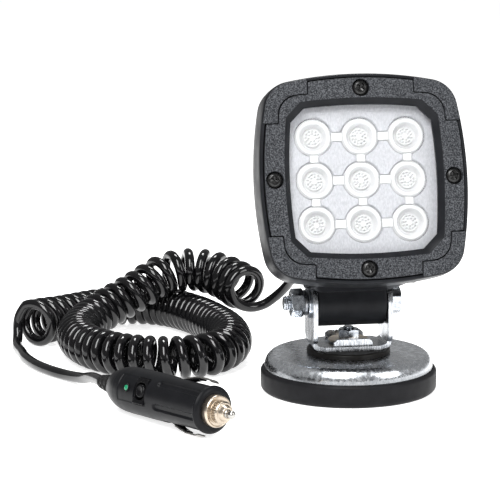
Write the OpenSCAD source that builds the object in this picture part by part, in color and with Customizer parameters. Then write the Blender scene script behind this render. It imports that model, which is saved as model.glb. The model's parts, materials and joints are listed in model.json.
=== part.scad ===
// Work light: a square nine-lamp head on a U bracket, a magnetic base, and a curly cord with an
// accessory plug.  The origin is the middle of the magnet's underside, +Z is up, and the lamp
// faces -Y.  The head is drawn upright about its tilt axis and then leaned back.

/* [Magnetic base] */
// Outer diameter of the rubber boot
boot_d = 90; // [80:1:100]
// Height of the rubber boot
boot_h = 11.5; // [10:0.5:12.5]
// Height of the flat top of the steel cup
cup_top = 18.8; // [18.2:0.2:19.4]
// Diameter of the flat on top of the steel cup
cup_flat_d = 76.6; // [70:0.2:78]
// Diameter of the rubber pad under the bracket
pad_d = 42.8; // [40:0.2:46]
// Thickness of the rubber pad under the bracket
pad_t = 3; // [2.6:0.1:3.2]

/* [Bracket] */
// Height of the tilt axis over the floor
pivot_z = 45.2; // [45:0.1:47]
// Width of the steel strip
strip_w = 25; // [24:0.2:25.4]
// Thickness of the steel strip
strip_t = 2.3; // [2:0.1:2.4]
// Gap between the bracket's arms
arm_gap = 36.2; // [36:0.1:36.6]

/* [Lamp head] */
// Lean of the head from upright, in degrees
lean = 15; // [0:1:25]
// Width and height of the head across the middle of its sides
head_size = 104; // [101:1:106]
// Depth of the square body
body_depth = 21.5; // [21:0.5:23]
// Height of the head's middle over the tilt axis
face_z = 56.2; // [56:0.2:58]
// Distance from the front face back to the tilt axis
face_y = 55.4; // [55:0.2:57]
// Spacing of the lamps across the head
pitch_x = 23.2; // [22.8:0.1:23.4]
// Spacing of the lamps up the head
pitch_z = 21.4; // [21:0.1:21.8]
// Diameter of each lamp's optic
optic_d = 18.2; // [17:0.1:18.6]
// Number of cooling fins
fins = 11; // [7:1:13]

/* [Cord and plug] */
// Diameter of the cable
cable_d = 5.6; // [5:0.1:6]
// Outer diameter of the curly part
curl_d = 23.4; // [22:0.1:23.6]
// Outer diameter of the plug's barrel
barrel_d = 22; // [21:0.1:22.6]

/* [Hidden] */
$fn = 64;
eps = 0.01;

// Base stack, from the dome up
pad_z = cup_top + pad_t;
plate_z = pad_z + strip_t;
washer_z = plate_z + 2;
nut_z = washer_z + 5;
stud_z = nut_z + 1.2;

// Tilt joint
arm_out = arm_gap / 2 + strip_t;
knuckle_r = 12.2;
knuckle_w = arm_gap - 0.6;
sleeve_r = 6;
bolt_r = 4;

// Depths behind the front face
bezel_t = 4.6;
cover_t = 2.6;
gasket_t = 1.2;
optics_s = bezel_t + cover_t + gasket_t;
board_s = 18;
sink_s = 20.2;
fin_s = 25;
fin_end = 43;
fin_reach = 32;
box_end = 52;

// Rear box, in the head's upright frame
box_w = 70;
box_low = 14.6;
box_top = 36;
wall = 2.4;
gland_x = -18;
gland_z = 25;
gland_reach = 17;

// Optic centres as offsets from the middle of the face
lamp_places = [for (i = [-1:1], j = [-1:1]) [i * pitch_x, j * pitch_z]];
screw_ring = 44.3;
bezel_half = 49.3;
window_half = 36.5;
sink_screws = [[-28, 34], [28, 34], [-36, -14], [36, -14]];
ear_screws = [[-39.5, 27], [39.5, 27], [-23.5, 9.5], [23.5, 9.5]];
ear_t = 4;
board_holes = [for (i = [-1, 1], j = [-1, 1]) [i * pitch_x / 2, j * pitch_z / 2]];

// Plug, measured along its axis from the back of the strain relief
plug_start = [-127, -11, 11.2];
plug_heading = -59.2;
plug_rise = 1.8;
plug_roll = 21;
relief_len = 11.5;
panel_s = [27.5, 40.5];
led_s = 35;
switch_s = [41.2, 49.8];
groove_s = [57, 83];
leaf_s = 54;
leaf_w = 4.8;
collar_s = 86.8;
nose_s = 89.4;
tip_end = 104;

// Route of the cable from the gland to the curly part
lead_route = [
  [-18, 19.7, 65.8], [-18, 34, 62], [-17, 50, 58.5], [-14.5, 68, 54.5], [-12, 86, 49],
  [-10.5, 102, 40], [-13, 114, 31], [-19, 122, 23], [-27, 124.5, 17.5], [-34, 120.5, 16]
];
// Route of the middle of the curly part, from the lamp's end to the plug's end
coil_route = [
  [-34, 118.5, 28.5], [-39, 131, 31.3], [-48, 142.5, 34.5], [-61, 150, 36.4], [-77, 149.5, 34.6],
  [-96, 141, 26], [-112, 134, 19], [-125, 120, 14], [-132, 97, 12], [-129, 70, 12],
  [-117, 48, 12], [-100, 35, 12], [-82, 31, 12], [-65, 38, 12], [-53, 58, 12],
  [-50, 86, 12], [-54, 113, 12], [-62, 140, 12], [-75, 163, 12], [-94, 173, 12],
  [-114, 168, 12], [-134, 148, 12], [-156.5, 120, 12.4]
];
// Route of the cable from the curly part to the plug
tail_route = [
  [-161, 129, 14], [-163, 126, 8], [-164.5, 120, 3.8], [-164.5, 112, 3], [-163, 100, 3],
  [-161, 84, 3], [-156, 66, 3], [-149, 51, 3], [-141, 38, 3.2], [-134.5, 23, 5.2],
  [-130.5, 7, 9], [-127, -11, 11.2]
];

// ---------- helpers ----------

// Closed outline with bulged sides and round corners: h is half its size across the middle
function bulged(h, corner, side_r, steps = 5) =
  let (d = side_r - h, k = side_r - corner,
       c = (sqrt(2 * k * k - d * d) - d) / 2,
       turn = atan2(c, c + d))
  [for (q = [0:3], i = [0:2 * steps + steps])
    let (on_side = i <= 2 * steps,
         a = on_side ? turn * (i / steps - 1) : turn + (90 - 2 * turn) * (i - 2 * steps) / (steps + 1),
         p = on_side ? [side_r * sin(a), side_r * cos(a) - d] : [c + corner * sin(a), c + corner * cos(a)])
    [p[0] * cos(90 * q) + p[1] * sin(90 * q), p[1] * cos(90 * q) - p[0] * sin(90 * q)]];

// Window outline with bulged sides and cut corners
function cut_square(h, edge, half_run) =
  [for (q = [0:3], i = [-3:3])
    let (x = half_run * i / 3, y = h - (h - edge) * pow(i / 3, 2))
    [x * cos(90 * q) + y * sin(90 * q), y * cos(90 * q) - x * sin(90 * q)]];

module outline(h) { polygon(bulged(h, 15, 190)); }
module window(grow = 0) {
  h = window_half + grow;
  polygon(cut_square(h, 0.964 * h, 0.77 * h));
}

// Head frame
module on_head() { translate([0, 0, pivot_z]) rotate([-lean, 0, 0]) children(); }
// A flat shape on the face, from depth s0 to depth s1
module slab(s0, s1) {
  translate([0, s1 - face_y, face_z]) rotate([90, 0, 0]) linear_extrude(s1 - s0) children();
}
// A turned shape standing on depth s, its local +Z pointing backwards
module turned(place, s) {
  translate([place[0], s - face_y, face_z + place[1]]) rotate([-90, 0, 0]) children();
}
module box(low, high) { translate(low) cube(high - low); }
// The same from any two opposite corners
module box_between(a, b) {
  box([for (i = [0:2]) min(a[i], b[i])], [for (i = [0:2]) max(a[i], b[i])]);
}
module hexagon(flats) { circle(r = flats / sqrt(3), $fn = 6); }

// Zigzag thread ridges as a turned solid: radius r, from z0 to z1
module threaded(r, z0, z1, pitch) {
  turns = floor((z1 - z0) / pitch);
  depth = 0.6 * pitch;
  ridges = [for (i = [0:turns - 1], k = [0, 1])
    [k == 0 ? r - depth : r, z0 + (i + 0.25 + 0.5 * k) * pitch]];
  rotate_extrude() polygon(concat([[0, z0], [r - depth, z0]], ridges, [[r - depth, z1], [0, z1]]));
}

// Cross recess for a screw head
module cross_recess(size, depth) {
  for (a = [0, 90]) rotate(a) translate([-size / 2, -size / 8, -eps]) cube([size, size / 4, depth]);
}
// Pan head screw, head outwards at z = 0, shank to z = length
module pan_screw(head_d, head_t, shank_d, length, recess) {
  difference() {
    rotate_extrude() polygon([
      [0, 0], [head_d * 0.36, 0], [head_d * 0.46, head_t * 0.25], [head_d / 2, head_t * 0.7],
      [head_d / 2, head_t], [shank_d / 2, head_t], [shank_d / 2, length - 0.6],
      [shank_d / 2 - 0.6, length], [0, length]]);
    cross_recess(recess, head_t * 0.8);
  }
}

// Smooth curve through a route's points
function at(route, i) = route[max(0, min(len(route) - 1, i))];
function smooth(route, i, t) =
  let (a = at(route, i - 1), b = at(route, i), c = at(route, i + 1), d = at(route, i + 2))
  b + t * (c - a) / 2 + t * t * (a - 2.5 * b + 2 * c - d / 2)
    + t * t * t * (1.5 * b - a / 2 - 1.5 * c + d / 2);
function refined(route, steps) =
  concat([for (i = [0:len(route) - 2], k = [0:steps - 1]) smooth(route, i, k / steps)],
         [route[len(route) - 1]]);
function unit(v) = v / norm(v);
function heading_at(path, i) = unit(at(path, i + 1) - at(path, i - 1));
// Tube of one radius along a path: each ring stands square to the path, first side level
module tube(path, r, sides) {
  rings = len(path);
  points = [for (i = [0:rings - 1])
    let (f = heading_at(path, i), u = unit(cross([0, 0, 1], f)), v = cross(f, u))
    for (k = [0:sides - 1])
      path[i] + r * cos(360 * (k + 0.5) / sides) * u + r * sin(360 * (k + 0.5) / sides) * v];
  faces = concat(
    [[for (k = [sides - 1:-1:0]) k]],
    [for (i = [0:rings - 2], k = [0:sides - 1])
      let (n = (k + 1) % sides)
      [i * sides + k, i * sides + n, (i + 1) * sides + n, (i + 1) * sides + k]],
    [[for (k = [0:sides - 1]) (rings - 1) * sides + k]]);
  // quads bend a little on a curved tube, so each is drawn as two triangles
  split = [for (f = faces) for (t = [1:len(f) - 2]) [f[0], f[t + 1], f[t]]];
  polyhedron(points, split);
}

// ---------- magnetic base ----------

module rubber_boot() color("#1a1a1a") rotate_extrude($fn = 96) polygon([
  [0, 0], [boot_d / 2 - 1.2, 0], [boot_d / 2 - 0.3, 0.4], [boot_d / 2, 1.4],
  [boot_d / 2, boot_h - 1.6], [boot_d / 2 - 0.5, boot_h - 0.4], [boot_d / 2 - 1.4, boot_h],
  [boot_d / 2 - 2, boot_h], [boot_d / 2 - 2, 1.5], [0, 1.5]]);
module magnet_cup() color("#b9bdc2") difference() {
  rotate_extrude($fn = 96) polygon(concat(
    [[0, cup_top - 2.6], [cup_flat_d / 2 - 2.4, cup_top - 2.6], [boot_d / 2 - 4.6, boot_h],
     [boot_d / 2 - 4.6, 1.5], [boot_d / 2 - 2, 1.5], [boot_d / 2 - 2, boot_h + 0.6]],
    [for (a = [10:20:70]) [cup_flat_d / 2 + (boot_d / 2 - 2 - cup_flat_d / 2) * cos(a),
                           boot_h + 0.6 + (cup_top - boot_h - 0.6) * sin(a)]],
    [[cup_flat_d / 2 - 0.4, cup_top], [0, cup_top]]));
  translate([0, 0, cup_top - 5]) cylinder(r = 3.6, h = 10);
}
module ring_magnet() color("#3b3d40") difference() {
  translate([0, 0, 1.5]) cylinder(r = cup_flat_d / 2 - 2.8, h = cup_top - 4.1);
  cylinder(r = 14.5, h = 20);
}
module pole_piece() color("#8d9196") difference() {
  translate([0, 0, 1.5]) cylinder(r = 13, h = cup_top - 4.1);
  translate([0, 0, 5]) cylinder(r = 3.04, h = 20);
}
module centre_stud() color("#c8ccd0") {
  translate([0, 0, 5]) cylinder(r = 3, h = pad_z - 5);
  translate([0, 0, pad_z]) cylinder(r = 3, h = nut_z - pad_z);
  threaded(3, nut_z, stud_z, 0.5);
}
module swivel_pad() color("#141414") difference() {
  translate([0, 0, cup_top]) rotate_extrude($fn = 96) polygon([
    [0, 0], [pad_d / 2, 0], [pad_d / 2, pad_t - 0.7], [pad_d / 2 - 0.7, pad_t], [0, pad_t]]);
  translate([0, 0, cup_top - 1]) cylinder(r = 3.2, h = pad_t + 2);
}
module clamp_washer() color("#c2ad8c") translate([0, 0, plate_z]) rotate_extrude() polygon([
  [3.3, 0], [10, 0], [10.5, 0.4], [10.5, 1.6], [10, 2], [3.3, 2]]);
module clamp_nut() color("#c8ccd0") difference() {
  translate([0, 0, washer_z]) intersection() {
    linear_extrude(nut_z - washer_z) rotate(20) hexagon(10);
    rotate_extrude() polygon([[0, 0], [5.2, 0], [5.8, 0.4], [5.8, 4.4], [5, 5], [0, 5]]);
  }
  translate([0, 0, washer_z - 1]) cylinder(r = 3.05, h = 8);
}

// ---------- bracket ----------

module arm_side(x0) {
  arm_base = plate_z + 3;
  translate([x0, 0, 0]) rotate([90, 0, 90]) linear_extrude(strip_t) difference() {
    union() {
      translate([0, pivot_z]) circle(r = strip_w / 2);
      translate([-strip_w / 2, arm_base]) square([strip_w, pivot_z - arm_base]);
      polygon([[-strip_w / 2, arm_base + eps], [strip_w / 2, arm_base + eps],
               [strip_w / 2 - 3, pad_z], [3 - strip_w / 2, pad_z]]);
    }
    translate([0, pivot_z]) circle(r = bolt_r + 0.2);
  }
}
module u_bracket() color("#c9cdd1") {
  lip_in = strip_w / 2 - 1.6;
  difference() {
    union() {
      arm_side(arm_gap / 2);
      arm_side(-arm_out);
      box([-arm_gap / 2 - eps, -strip_w / 2, pad_z], [arm_gap / 2 + eps, strip_w / 2, plate_z]);
      for (side = [-1, 1]) scale([1, side, 1])
        box([-10, lip_in, plate_z - eps], [10, strip_w / 2, plate_z + 4]);
    }
    translate([0, 0, pad_z - 1]) cylinder(r = 3.08, h = strip_t + 2);
    for (x = [-1, 1], y = [-1, 1])
      translate([x * (arm_gap / 2 + 2.3), y * (strip_w / 2 + 0.4), pad_z - 1]) rotate(45)
        translate([-2.5, -2.5, 0]) cube([5, 5, strip_t + 1.5]);
  }
}
module pivot_bolt() color("#cfd3d6") translate([0, 0, pivot_z]) rotate([0, 90, 0]) {
  translate([0, 0, arm_out]) intersection() {
    linear_extrude(6) rotate(6) hexagon(13);
    rotate_extrude() polygon([[0, 0], [7.6, 0], [7.6, 5.2], [6.6, 6], [0, 6]]);
  }
  translate([0, 0, -arm_out - 10]) cylinder(r = bolt_r, h = 2 * arm_out + 10);
  rotate([180, 0, 0]) threaded(bolt_r, arm_out + 10, arm_out + 13.4, 0.85);
}
module pivot_nut() color("#cfd3d6") translate([-arm_out - 3.2, 0, pivot_z]) rotate([0, -90, 0])
  difference() {
    intersection() {
      linear_extrude(6.6) rotate(12) hexagon(13);
      rotate_extrude() polygon([[0, 0], [6.9, 0], [7.6, 0.6], [7.6, 5.8], [6.6, 6.6], [0, 6.6]]);
    }
    translate([0, 0, -1]) cylinder(r = bolt_r + 0.05, h = 10);
  }
module lock_washer() color("#9ea3a8") translate([-arm_out - 1.2, 0, pivot_z]) rotate([0, -90, 0])
  difference() {
    cylinder(r = 6.6, h = 2);
    translate([0, 0, -1]) cylinder(r = 4.1, h = 4);
    translate([2, -0.5, -1]) cube([8, 1, 4]);
  }
module flat_washer() color("#c9cdd1") translate([-arm_out, 0, pivot_z]) rotate([0, -90, 0])
  difference() {
    cylinder(r = 8, h = 1.2);
    translate([0, 0, -1]) cylinder(r = 4.2, h = 4);
  }

// ---------- lamp head ----------

// The four corner pads of the housing, flush with the face
module corner_pads(grow = 0) {
  difference() {
    outline(head_size / 2 - 1);
    polygon(bulged(42.6 - grow, 10, 400));
    square([2 * (26.5 - grow), head_size + 2], center = true);
    square([head_size + 2, 2 * (27.5 - grow)], center = true);
  }
}
module bezel_holes() {
  for (a = [0:90:270])
    translate(screw_ring * [cos(a), sin(a)]) children();
}
module front_bezel() color("#3f4145") on_head() difference() {
  slab(0, bezel_t) difference() {
    outline(bezel_half);
    window();
    corner_pads(0.4);
  }
  // the slope around the window, run on past its inner edge
  translate([0, -face_y - 0.3, face_z]) rotate([-90, 0, 0])
    linear_extrude(4.2, scale = (window_half - 0.5) / (window_half + 3.4)) window(3.4);
  slab(-1, 2.9) bezel_holes() circle(r = 4.6);
  slab(2, bezel_t + 1) bezel_holes() circle(r = 2.1);
}
module bezel_screws() color("#151515") on_head()
  for (a = [0:90:270])
    turned(screw_ring * [cos(a), sin(a)], 0.4) pan_screw(8.6, 2.5, 3.9, 14, 4.4);
module lens_cover() color("#f4f7fa", 0.35) on_head()
  slab(bezel_t, bezel_t + cover_t) difference() {
    window(3.4);
    bezel_holes() circle(r = 4.4);
  }
module lens_gasket() color("#101010") on_head()
  slab(bezel_t + cover_t, optics_s) difference() {
    window(3.2);
    window(1.8);
    bezel_holes() circle(r = 4.5);
  }
module reflector_plate() color("#dfe2e6") on_head() difference() {
  slab(optics_s, optics_s + 1.6) window(2);
  slab(optics_s - 1, optics_s + 3)
    for (p = lamp_places) translate(p) circle(r = optic_d / 2 + 0.25);
  // shallow channels that join neighbouring cups
  slab(optics_s - 1, optics_s + 0.7) for (j = [-1:1]) {
    translate([-pitch_x, j * pitch_z - 2.4]) square([2 * pitch_x, 4.8]);
    translate([j * pitch_x - 2.4, -pitch_z]) square([4.8, 2 * pitch_z]);
  }
}
module optic_lenses() color("#f7f9fb", 0.5) on_head()
  for (p = lamp_places) turned(p, optics_s + 0.3) difference() {
    rotate_extrude() polygon([
      [0, 0.9], [4.6, 0.9], [4.9, 1.7], [6, 1.7], [6.3, 0], [optic_d / 2, 0],
      [optic_d / 2, 1.6], [optic_d / 2 - 0.8, 2.2], [6.6, 5.6], [4.4, 8.6], [0, 8.6]]);
    translate([0, 0, 5.2]) cylinder(r = 2.9, h = 5);
  }
module led_chips() color("#f2e9a8") on_head()
  for (p = lamp_places) turned(p, board_s - 1.8) {
    translate([-1.8, -1.8, 0.8]) cube([3.6, 3.6, 1]);
    rotate_extrude() polygon([for (a = [0:15:90]) [1.6 * cos(a), 0.9 - 0.9 * sin(a)], [0, 0.9]]);
  }
module led_board() color("#f2f2ee") on_head() slab(board_s, board_s + 1.6) difference() {
  window(-5.6);
  for (p = board_holes) translate(p) circle(r = 1.7);
  translate([0, -28]) circle(r = 2);
}
module board_screws() color("#b8bcc0") on_head()
  for (p = board_holes) turned(p, board_s - 1.6) pan_screw(5.4, 1.6, 2.9, 6.2, 2.6);
module thermal_pad() color("#8fa3b8") on_head() slab(board_s + 1.6, sink_s) difference() {
  window(-6);
  for (p = board_holes) translate(p) circle(r = 1.7);
  translate([0, -28]) circle(r = 2);
}
module front_housing() color("#2c2e31") on_head() difference() {
  union() {
    slab(0.9, 1.7 + eps) outline(head_size / 2 - 1.2);
    slab(1.7, 6 + eps) outline(head_size / 2 - 0.5);
    slab(6, body_depth - 2) outline(head_size / 2);
    slab(body_depth - 2 - eps, body_depth - 1) outline(head_size / 2 - 0.7);
    slab(body_depth - 1 - eps, body_depth) outline(head_size / 2 - 1.8);
    slab(0, bezel_t) corner_pads();
  }
  // seat of the bezel, leaving the corner pads
  slab(-1, bezel_t) difference() {
    outline(bezel_half + 0.4);
    corner_pads();
  }
  // seat of the lens, the optics and the board
  slab(bezel_t - 1, optics_s) window(3.6);
  slab(optics_s - 1, body_depth - 3.2) window(2.2);
  slab(body_depth - 4, body_depth + 1) square([66, 62], center = true);
  slab(bezel_t - 1, bezel_t + 11) bezel_holes() circle(r = 1.97);
  slab(body_depth - 5, body_depth + 1) for (p = sink_screws) translate(p) circle(r = 1.47);
  slab(body_depth - 8, body_depth + 1)
    for (p = ear_screws) translate(p - [0, face_z]) circle(r = 1.47);
}
module heat_sink() color("#26282a") on_head() {
  low = box_top + 1 - face_z;
  difference() {
    union() {
      slab(sink_s, body_depth) square([65.4, 61.4], center = true);
      slab(body_depth, fin_s) polygon([
        [-39.5, low], [39.5, low], [39.5, 34], [35.5, 38], [-35.5, 38], [-39.5, 34]]);
      for (i = [0:fins - 1]) {
        x = fin_reach * (2 * i / (fins - 1) - 1);
        fin_top = abs(x) > 22 ? 29 : 37;
        slab(fin_s - eps, fin_end) translate([x - 1, low + 1]) square([2, fin_top - low - 1]);
      }
    }
    slab(sink_s - 1, fin_end + 1) for (p = sink_screws) translate(p) circle(r = 1.75);
    slab(fin_s - 1.6, fin_end + 1) for (p = sink_screws) translate(p) circle(r = 3.2);
    slab(sink_s - 1, sink_s + 4.6) for (p = board_holes) translate(p) circle(r = 1.47);
    slab(sink_s - 1, body_depth + 1) translate([0, -28]) circle(r = 2);
  }
}
module heat_sink_screws() color("#9ea3a8") on_head()
  for (p = sink_screws)
    turned(p, fin_s + 0.6) mirror([0, 0, 1]) pan_screw(5.6, 2.2, 2.9, 7, 2.8);
module rear_housing() color("#232527") on_head() difference() {
  y_front = body_depth - face_y;
  y_back = box_end - face_y;
  union() {
    // terminal box with rounded lower corners
    translate([0, y_back, 0]) rotate([90, 0, 0]) linear_extrude(box_end - body_depth) polygon(concat(
      [[-box_w / 2, box_top], [-box_w / 2, box_low + 7]],
      [for (a = [15:15:75]) [-box_w / 2 + 7 - 7 * cos(a), box_low + 7 - 7 * sin(a)]],
      [[7 - box_w / 2, box_low], [box_w / 2 - 7, box_low]],
      [for (a = [75:-15:15]) [box_w / 2 - 7 + 7 * cos(a), box_low + 7 - 7 * sin(a)]],
      [[box_w / 2, box_low + 7], [box_w / 2, box_top]]));
    // neck from the box down to the knuckle
    hull() {
      box([-knuckle_w / 2, -knuckle_r, box_low], [knuckle_w / 2, y_back - 2, box_low + 2]);
      translate([-knuckle_w / 2, 0, 0]) rotate([0, 90, 0])
        cylinder(r = knuckle_r, h = knuckle_w, $fn = 48);
    }
    // ears and foot that the four screws go through
    for (side = [-1, 1]) box_between([side * (box_w / 2 - 1), y_front, 22.5],
                                     [side * 43.5, y_front + ear_t, 31.5]);
    box([-28, y_front, 6], [28, y_front + ear_t, box_low + 1]);
    // flare that runs forward from the neck to the square body
    box([-knuckle_w / 2, -17, 5], [knuckle_w / 2, -knuckle_r + 1.5, box_low + 1]);
    hull() {
      box([-knuckle_w / 2, -17, 4], [knuckle_w / 2, -15.6, 6]);
      box([-26, y_front + 0.6, 6.6], [26, -15.6, box_low + 1]);
    }
  }
  box([wall - box_w / 2, y_front - 1, box_low + 8], [box_w / 2 - wall, y_back - wall, box_top - wall]);
  translate([-30, 0, 0]) rotate([0, 90, 0]) cylinder(r = sleeve_r + 0.02, h = 60);
  translate([gland_x, y_back + 1, gland_z]) rotate([90, 0, 0]) cylinder(r = 6.05, h = 8);
  translate([18, y_back + 1, gland_z]) rotate([90, 0, 0]) cylinder(r = 3.05, h = 8);
  for (p = ear_screws) translate([p[0], y_front - 1, p[1]]) rotate([-90, 0, 0])
    cylinder(r = 1.7, h = ear_t + 2);
  for (p = ear_screws) translate([p[0], y_front + ear_t, p[1]]) rotate([-90, 0, 0])
    cylinder(r = 3.3, h = 12);
  // the knuckle's sides are clear of the arms
  for (side = [-1, 1]) translate([side * (knuckle_w / 2 + 1.6) - 1.6, 0, 0]) rotate([0, 90, 0])
    cylinder(r = strip_w / 2 + 1.1, h = 3.2);
}
module rear_gasket() color("#0f0f0f") on_head() translate([0, body_depth - face_y, 0]) difference() {
  box([wall - box_w / 2, 0, box_low + 8], [box_w / 2 - wall, 0.9, box_top - wall]);
  box([wall - box_w / 2 + 3, -1, box_low + 10], [box_w / 2 - wall - 3, 2, box_top - wall - 2]);
}
module rear_screws() color("#9ea3a8") on_head()
  for (p = ear_screws)
    turned(p - [0, face_z], body_depth + ear_t + 2.2) mirror([0, 0, 1])
      pan_screw(5.8, 2.2, 2.9, 12, 2.8);
module driver_board() color("#2f6b3f") on_head()
  box([wall - box_w / 2, -15, box_low + 9.5], [box_w / 2 - wall, -13.4, box_top - wall - 1]);
module driver_parts() color("#3a3a3a") on_head() translate([0, -15, 0]) {
  translate([-6, 0, gland_z + 2]) rotate([90, 0, 0]) cylinder(r = 3.6, h = 9);
  translate([6, 0, gland_z + 2]) rotate([90, 0, 0]) cylinder(r = 3.6, h = 9);
  box([14, -5, gland_z - 2], [22, 0, gland_z + 6]);
  box([-24, -3, gland_z - 1], [-15, 0, gland_z + 6]);
}
module cable_gland() color("#121212") on_head() translate([gland_x, box_end - face_y, gland_z])
  rotate([-90, 0, 0]) difference() {
    union() {
      translate([0, 0, -5]) cylinder(r = 6, h = 5 + eps);
      intersection() {
        linear_extrude(5) hexagon(15);
        rotate_extrude() polygon([[0, 0], [8.6, 0], [8.6, 4.2], [7.6, 5], [0, 5]]);
      }
      translate([0, 0, 5 - eps]) cylinder(r = 6.2, h = 4.5);
    }
    translate([0, 0, -6]) cylinder(r = cable_d / 2 + 0.9, h = 20);
  }
module gland_seal() color("#3b3b3b") on_head() translate([gland_x, box_end - face_y, gland_z])
  rotate([-90, 0, 0]) difference() {
    translate([0, 0, 9.5]) cylinder(r = 6.2, h = 2.5);
    cylinder(r = cable_d / 2 + 0.1, h = 20);
  }
module gland_nut() color("#121212") on_head() translate([gland_x, box_end - face_y, gland_z])
  rotate([-90, 0, 0]) difference() {
    intersection() {
      translate([0, 0, 5.4]) linear_extrude(gland_reach - 5.4) hexagon(15);
      rotate_extrude() polygon([
        [0, 5.4], [8.7, 5.4], [8.7, 10.5], [7.2, 14], [5, gland_reach], [0, gland_reach]]);
    }
    translate([0, 0, 4]) cylinder(r = 6.3, h = 8.05);
    cylinder(r = cable_d / 2 + 0.1, h = 30);
  }
module vent_plug() color("#1b1b1b") on_head() translate([18, box_end - face_y, gland_z])
  rotate([-90, 0, 0]) {
    translate([0, 0, -5]) cylinder(r = 3, h = 5 + eps);
    rotate_extrude() polygon([[0, 0], [5.5, 0], [5.5, 1], [4.4, 2], [0, 2]]);
  }
module pivot_sleeve() color("#a9adb1") on_head() rotate([0, 90, 0]) difference() {
  translate([0, 0, -knuckle_w / 2]) cylinder(r = sleeve_r, h = knuckle_w);
  translate([0, 0, -30]) cylinder(r = bolt_r + 0.06, h = 60);
}

// ---------- cord ----------

module cord_lead() color("#0d0d0d") tube(refined(lead_route, 2), cable_d / 2, 8);
module cord_coil() color("#0d0d0d") tube(refined(coil_route, 2), curl_d / 2, 12);
module cord_tail() color("#0d0d0d") tube(refined(tail_route, 2), cable_d / 2, 8);

// ---------- plug ----------

// Plug frame: +X along the plug, its marked face towards -Y, its side contacts at +Z and -Z
module on_plug() {
  translate(plug_start) rotate([0, 0, plug_heading]) rotate([0, -plug_rise, 0])
    rotate([-plug_roll, 0, 0]) children();
}
module along(s) { translate([s, 0, 0]) rotate([0, 90, 0]) children(); }

barrel_r = barrel_d / 2;
cavity_r = barrel_r - 2;
tip_s = nose_s - 5.6;
module plug_strain_relief() color("#1d1d1d") on_plug() along(0) rotate_extrude() polygon(concat(
  [[cable_d / 2 + 0.1, 0]],
  [for (i = [0:4], k = [0, 1]) [3.3 + 0.42 * i + 0.35 * k, 2.2 * i + 1.1 * k]],
  [[5.4, relief_len], [4, relief_len], [4, relief_len + 4], [cable_d / 2 + 0.1, relief_len + 4]]));
// How far the shell's rear end is inside its widest radius, and how far along that is
bulb = [[5.6, 0], [3.8, 2], [2.4, 5], [1.3, 8], [0.4, 12.5], [0.1, 16], [0, 21]];
module shell_profile() {
  widest = barrel_r + 0.3;
  polygon(concat(
    [[4.1, relief_len]], [for (p = bulb) [widest - p[0], relief_len + p[1]]],
    [[widest, 50], [barrel_r, 58], [barrel_r, collar_s], [cavity_r, collar_s],
     [cavity_r, 29], [4.1, relief_len + 3]]));
}
// Half of the shell: turn 180 is the marked half
module half_shell(turn) {
  intersection() {
    along(0) rotate_extrude() shell_profile();
    scale([1, turn, 1]) box([0, 0, -20], [tip_end, 20, 20]);
  }
}
module contact_slots() {
  w = leaf_w / 2 + 0.5;
  for (side = [-1, 1]) scale([1, 1, side]) box([leaf_s + 4, -w, 7.4], [tip_end, w, 20]);
}
module plug_shell_face() color("#26282b") on_plug() difference() {
  half_shell(-1);
  contact_slots();
  // blank panel with a hole for the indicator
  box([panel_s[0], -20, -6.4], [panel_s[1], -barrel_r + 0.6, 6.4]);
  translate([led_s, 0, 0]) rotate([90, 0, 0]) cylinder(r = 1.55, h = 20);
  // opening for the switch
  box([switch_s[0], -20, -6.4], [switch_s[1], -4, 6.4]);
  // two long grooves
  for (a = [-32, 32]) rotate([a, 0, 0]) hull() for (s = groove_s)
    translate([s, -barrel_r + 0.8, 0]) rotate([90, 0, 0]) cylinder(r = 1.7, h = 3, $fn = 32);
}
module plug_shell_back() color("#26282b") on_plug() difference() {
  half_shell(1);
  contact_slots();
}
module plug_collar() color("#17181a") on_plug() along(0) rotate_extrude() polygon([
  [7.8, collar_s], [barrel_r + 0.4, collar_s], [barrel_r + 0.4, nose_s - 1.4],
  [barrel_r - 0.6, nose_s - 0.3], [barrel_r - 1.6, nose_s], [7.8, nose_s]]);
module plug_nose() color("#d9c8a2") on_plug() difference() {
  union() {
    along(0) rotate_extrude() polygon([
      [2.15, nose_s - 6], [7.7, nose_s - 6], [7.7, nose_s + 2.6], [6.9, nose_s + 3.6],
      [5.3, nose_s + 3.8], [5.3, nose_s + 7], [4.8, nose_s + 7.6], [4, nose_s + 7.6],
      [3.2, nose_s + 10], [2.15, nose_s + 10]]);
    for (i = [0:23]) along(nose_s + 4.1) rotate(15 * i) translate([5.1, 0, 0]) rotate(45)
      cube([0.5, 0.5, 2.6]);
  }
  along(nose_s - 7) cylinder(r = 3.7, h = 5);
}
module plug_tip() color("#d9dcdf") on_plug() along(0) rotate_extrude() polygon(concat(
  [[0, tip_s], [3.5, tip_s], [3.5, tip_s + 2.2], [2.08, tip_s + 2.2], [2.08, tip_end - 2.2]],
  [for (a = [0:18:90]) [1.95 * cos(a), tip_end - 1.95 + 1.95 * sin(a)]]));
module tip_spring() color("#b8bcc0") on_plug()
  tube([for (a = [0:30:360 * 4])
    [tip_s - 7.2 + 6.4 * a / (360 * 4), 2.4 * cos(a), 2.4 * sin(a)]], 0.35, 6);
module plug_fuse() color("#cfd3d6") on_plug() along(tip_s - 38) cylinder(r = 3.1, h = 30);
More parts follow.
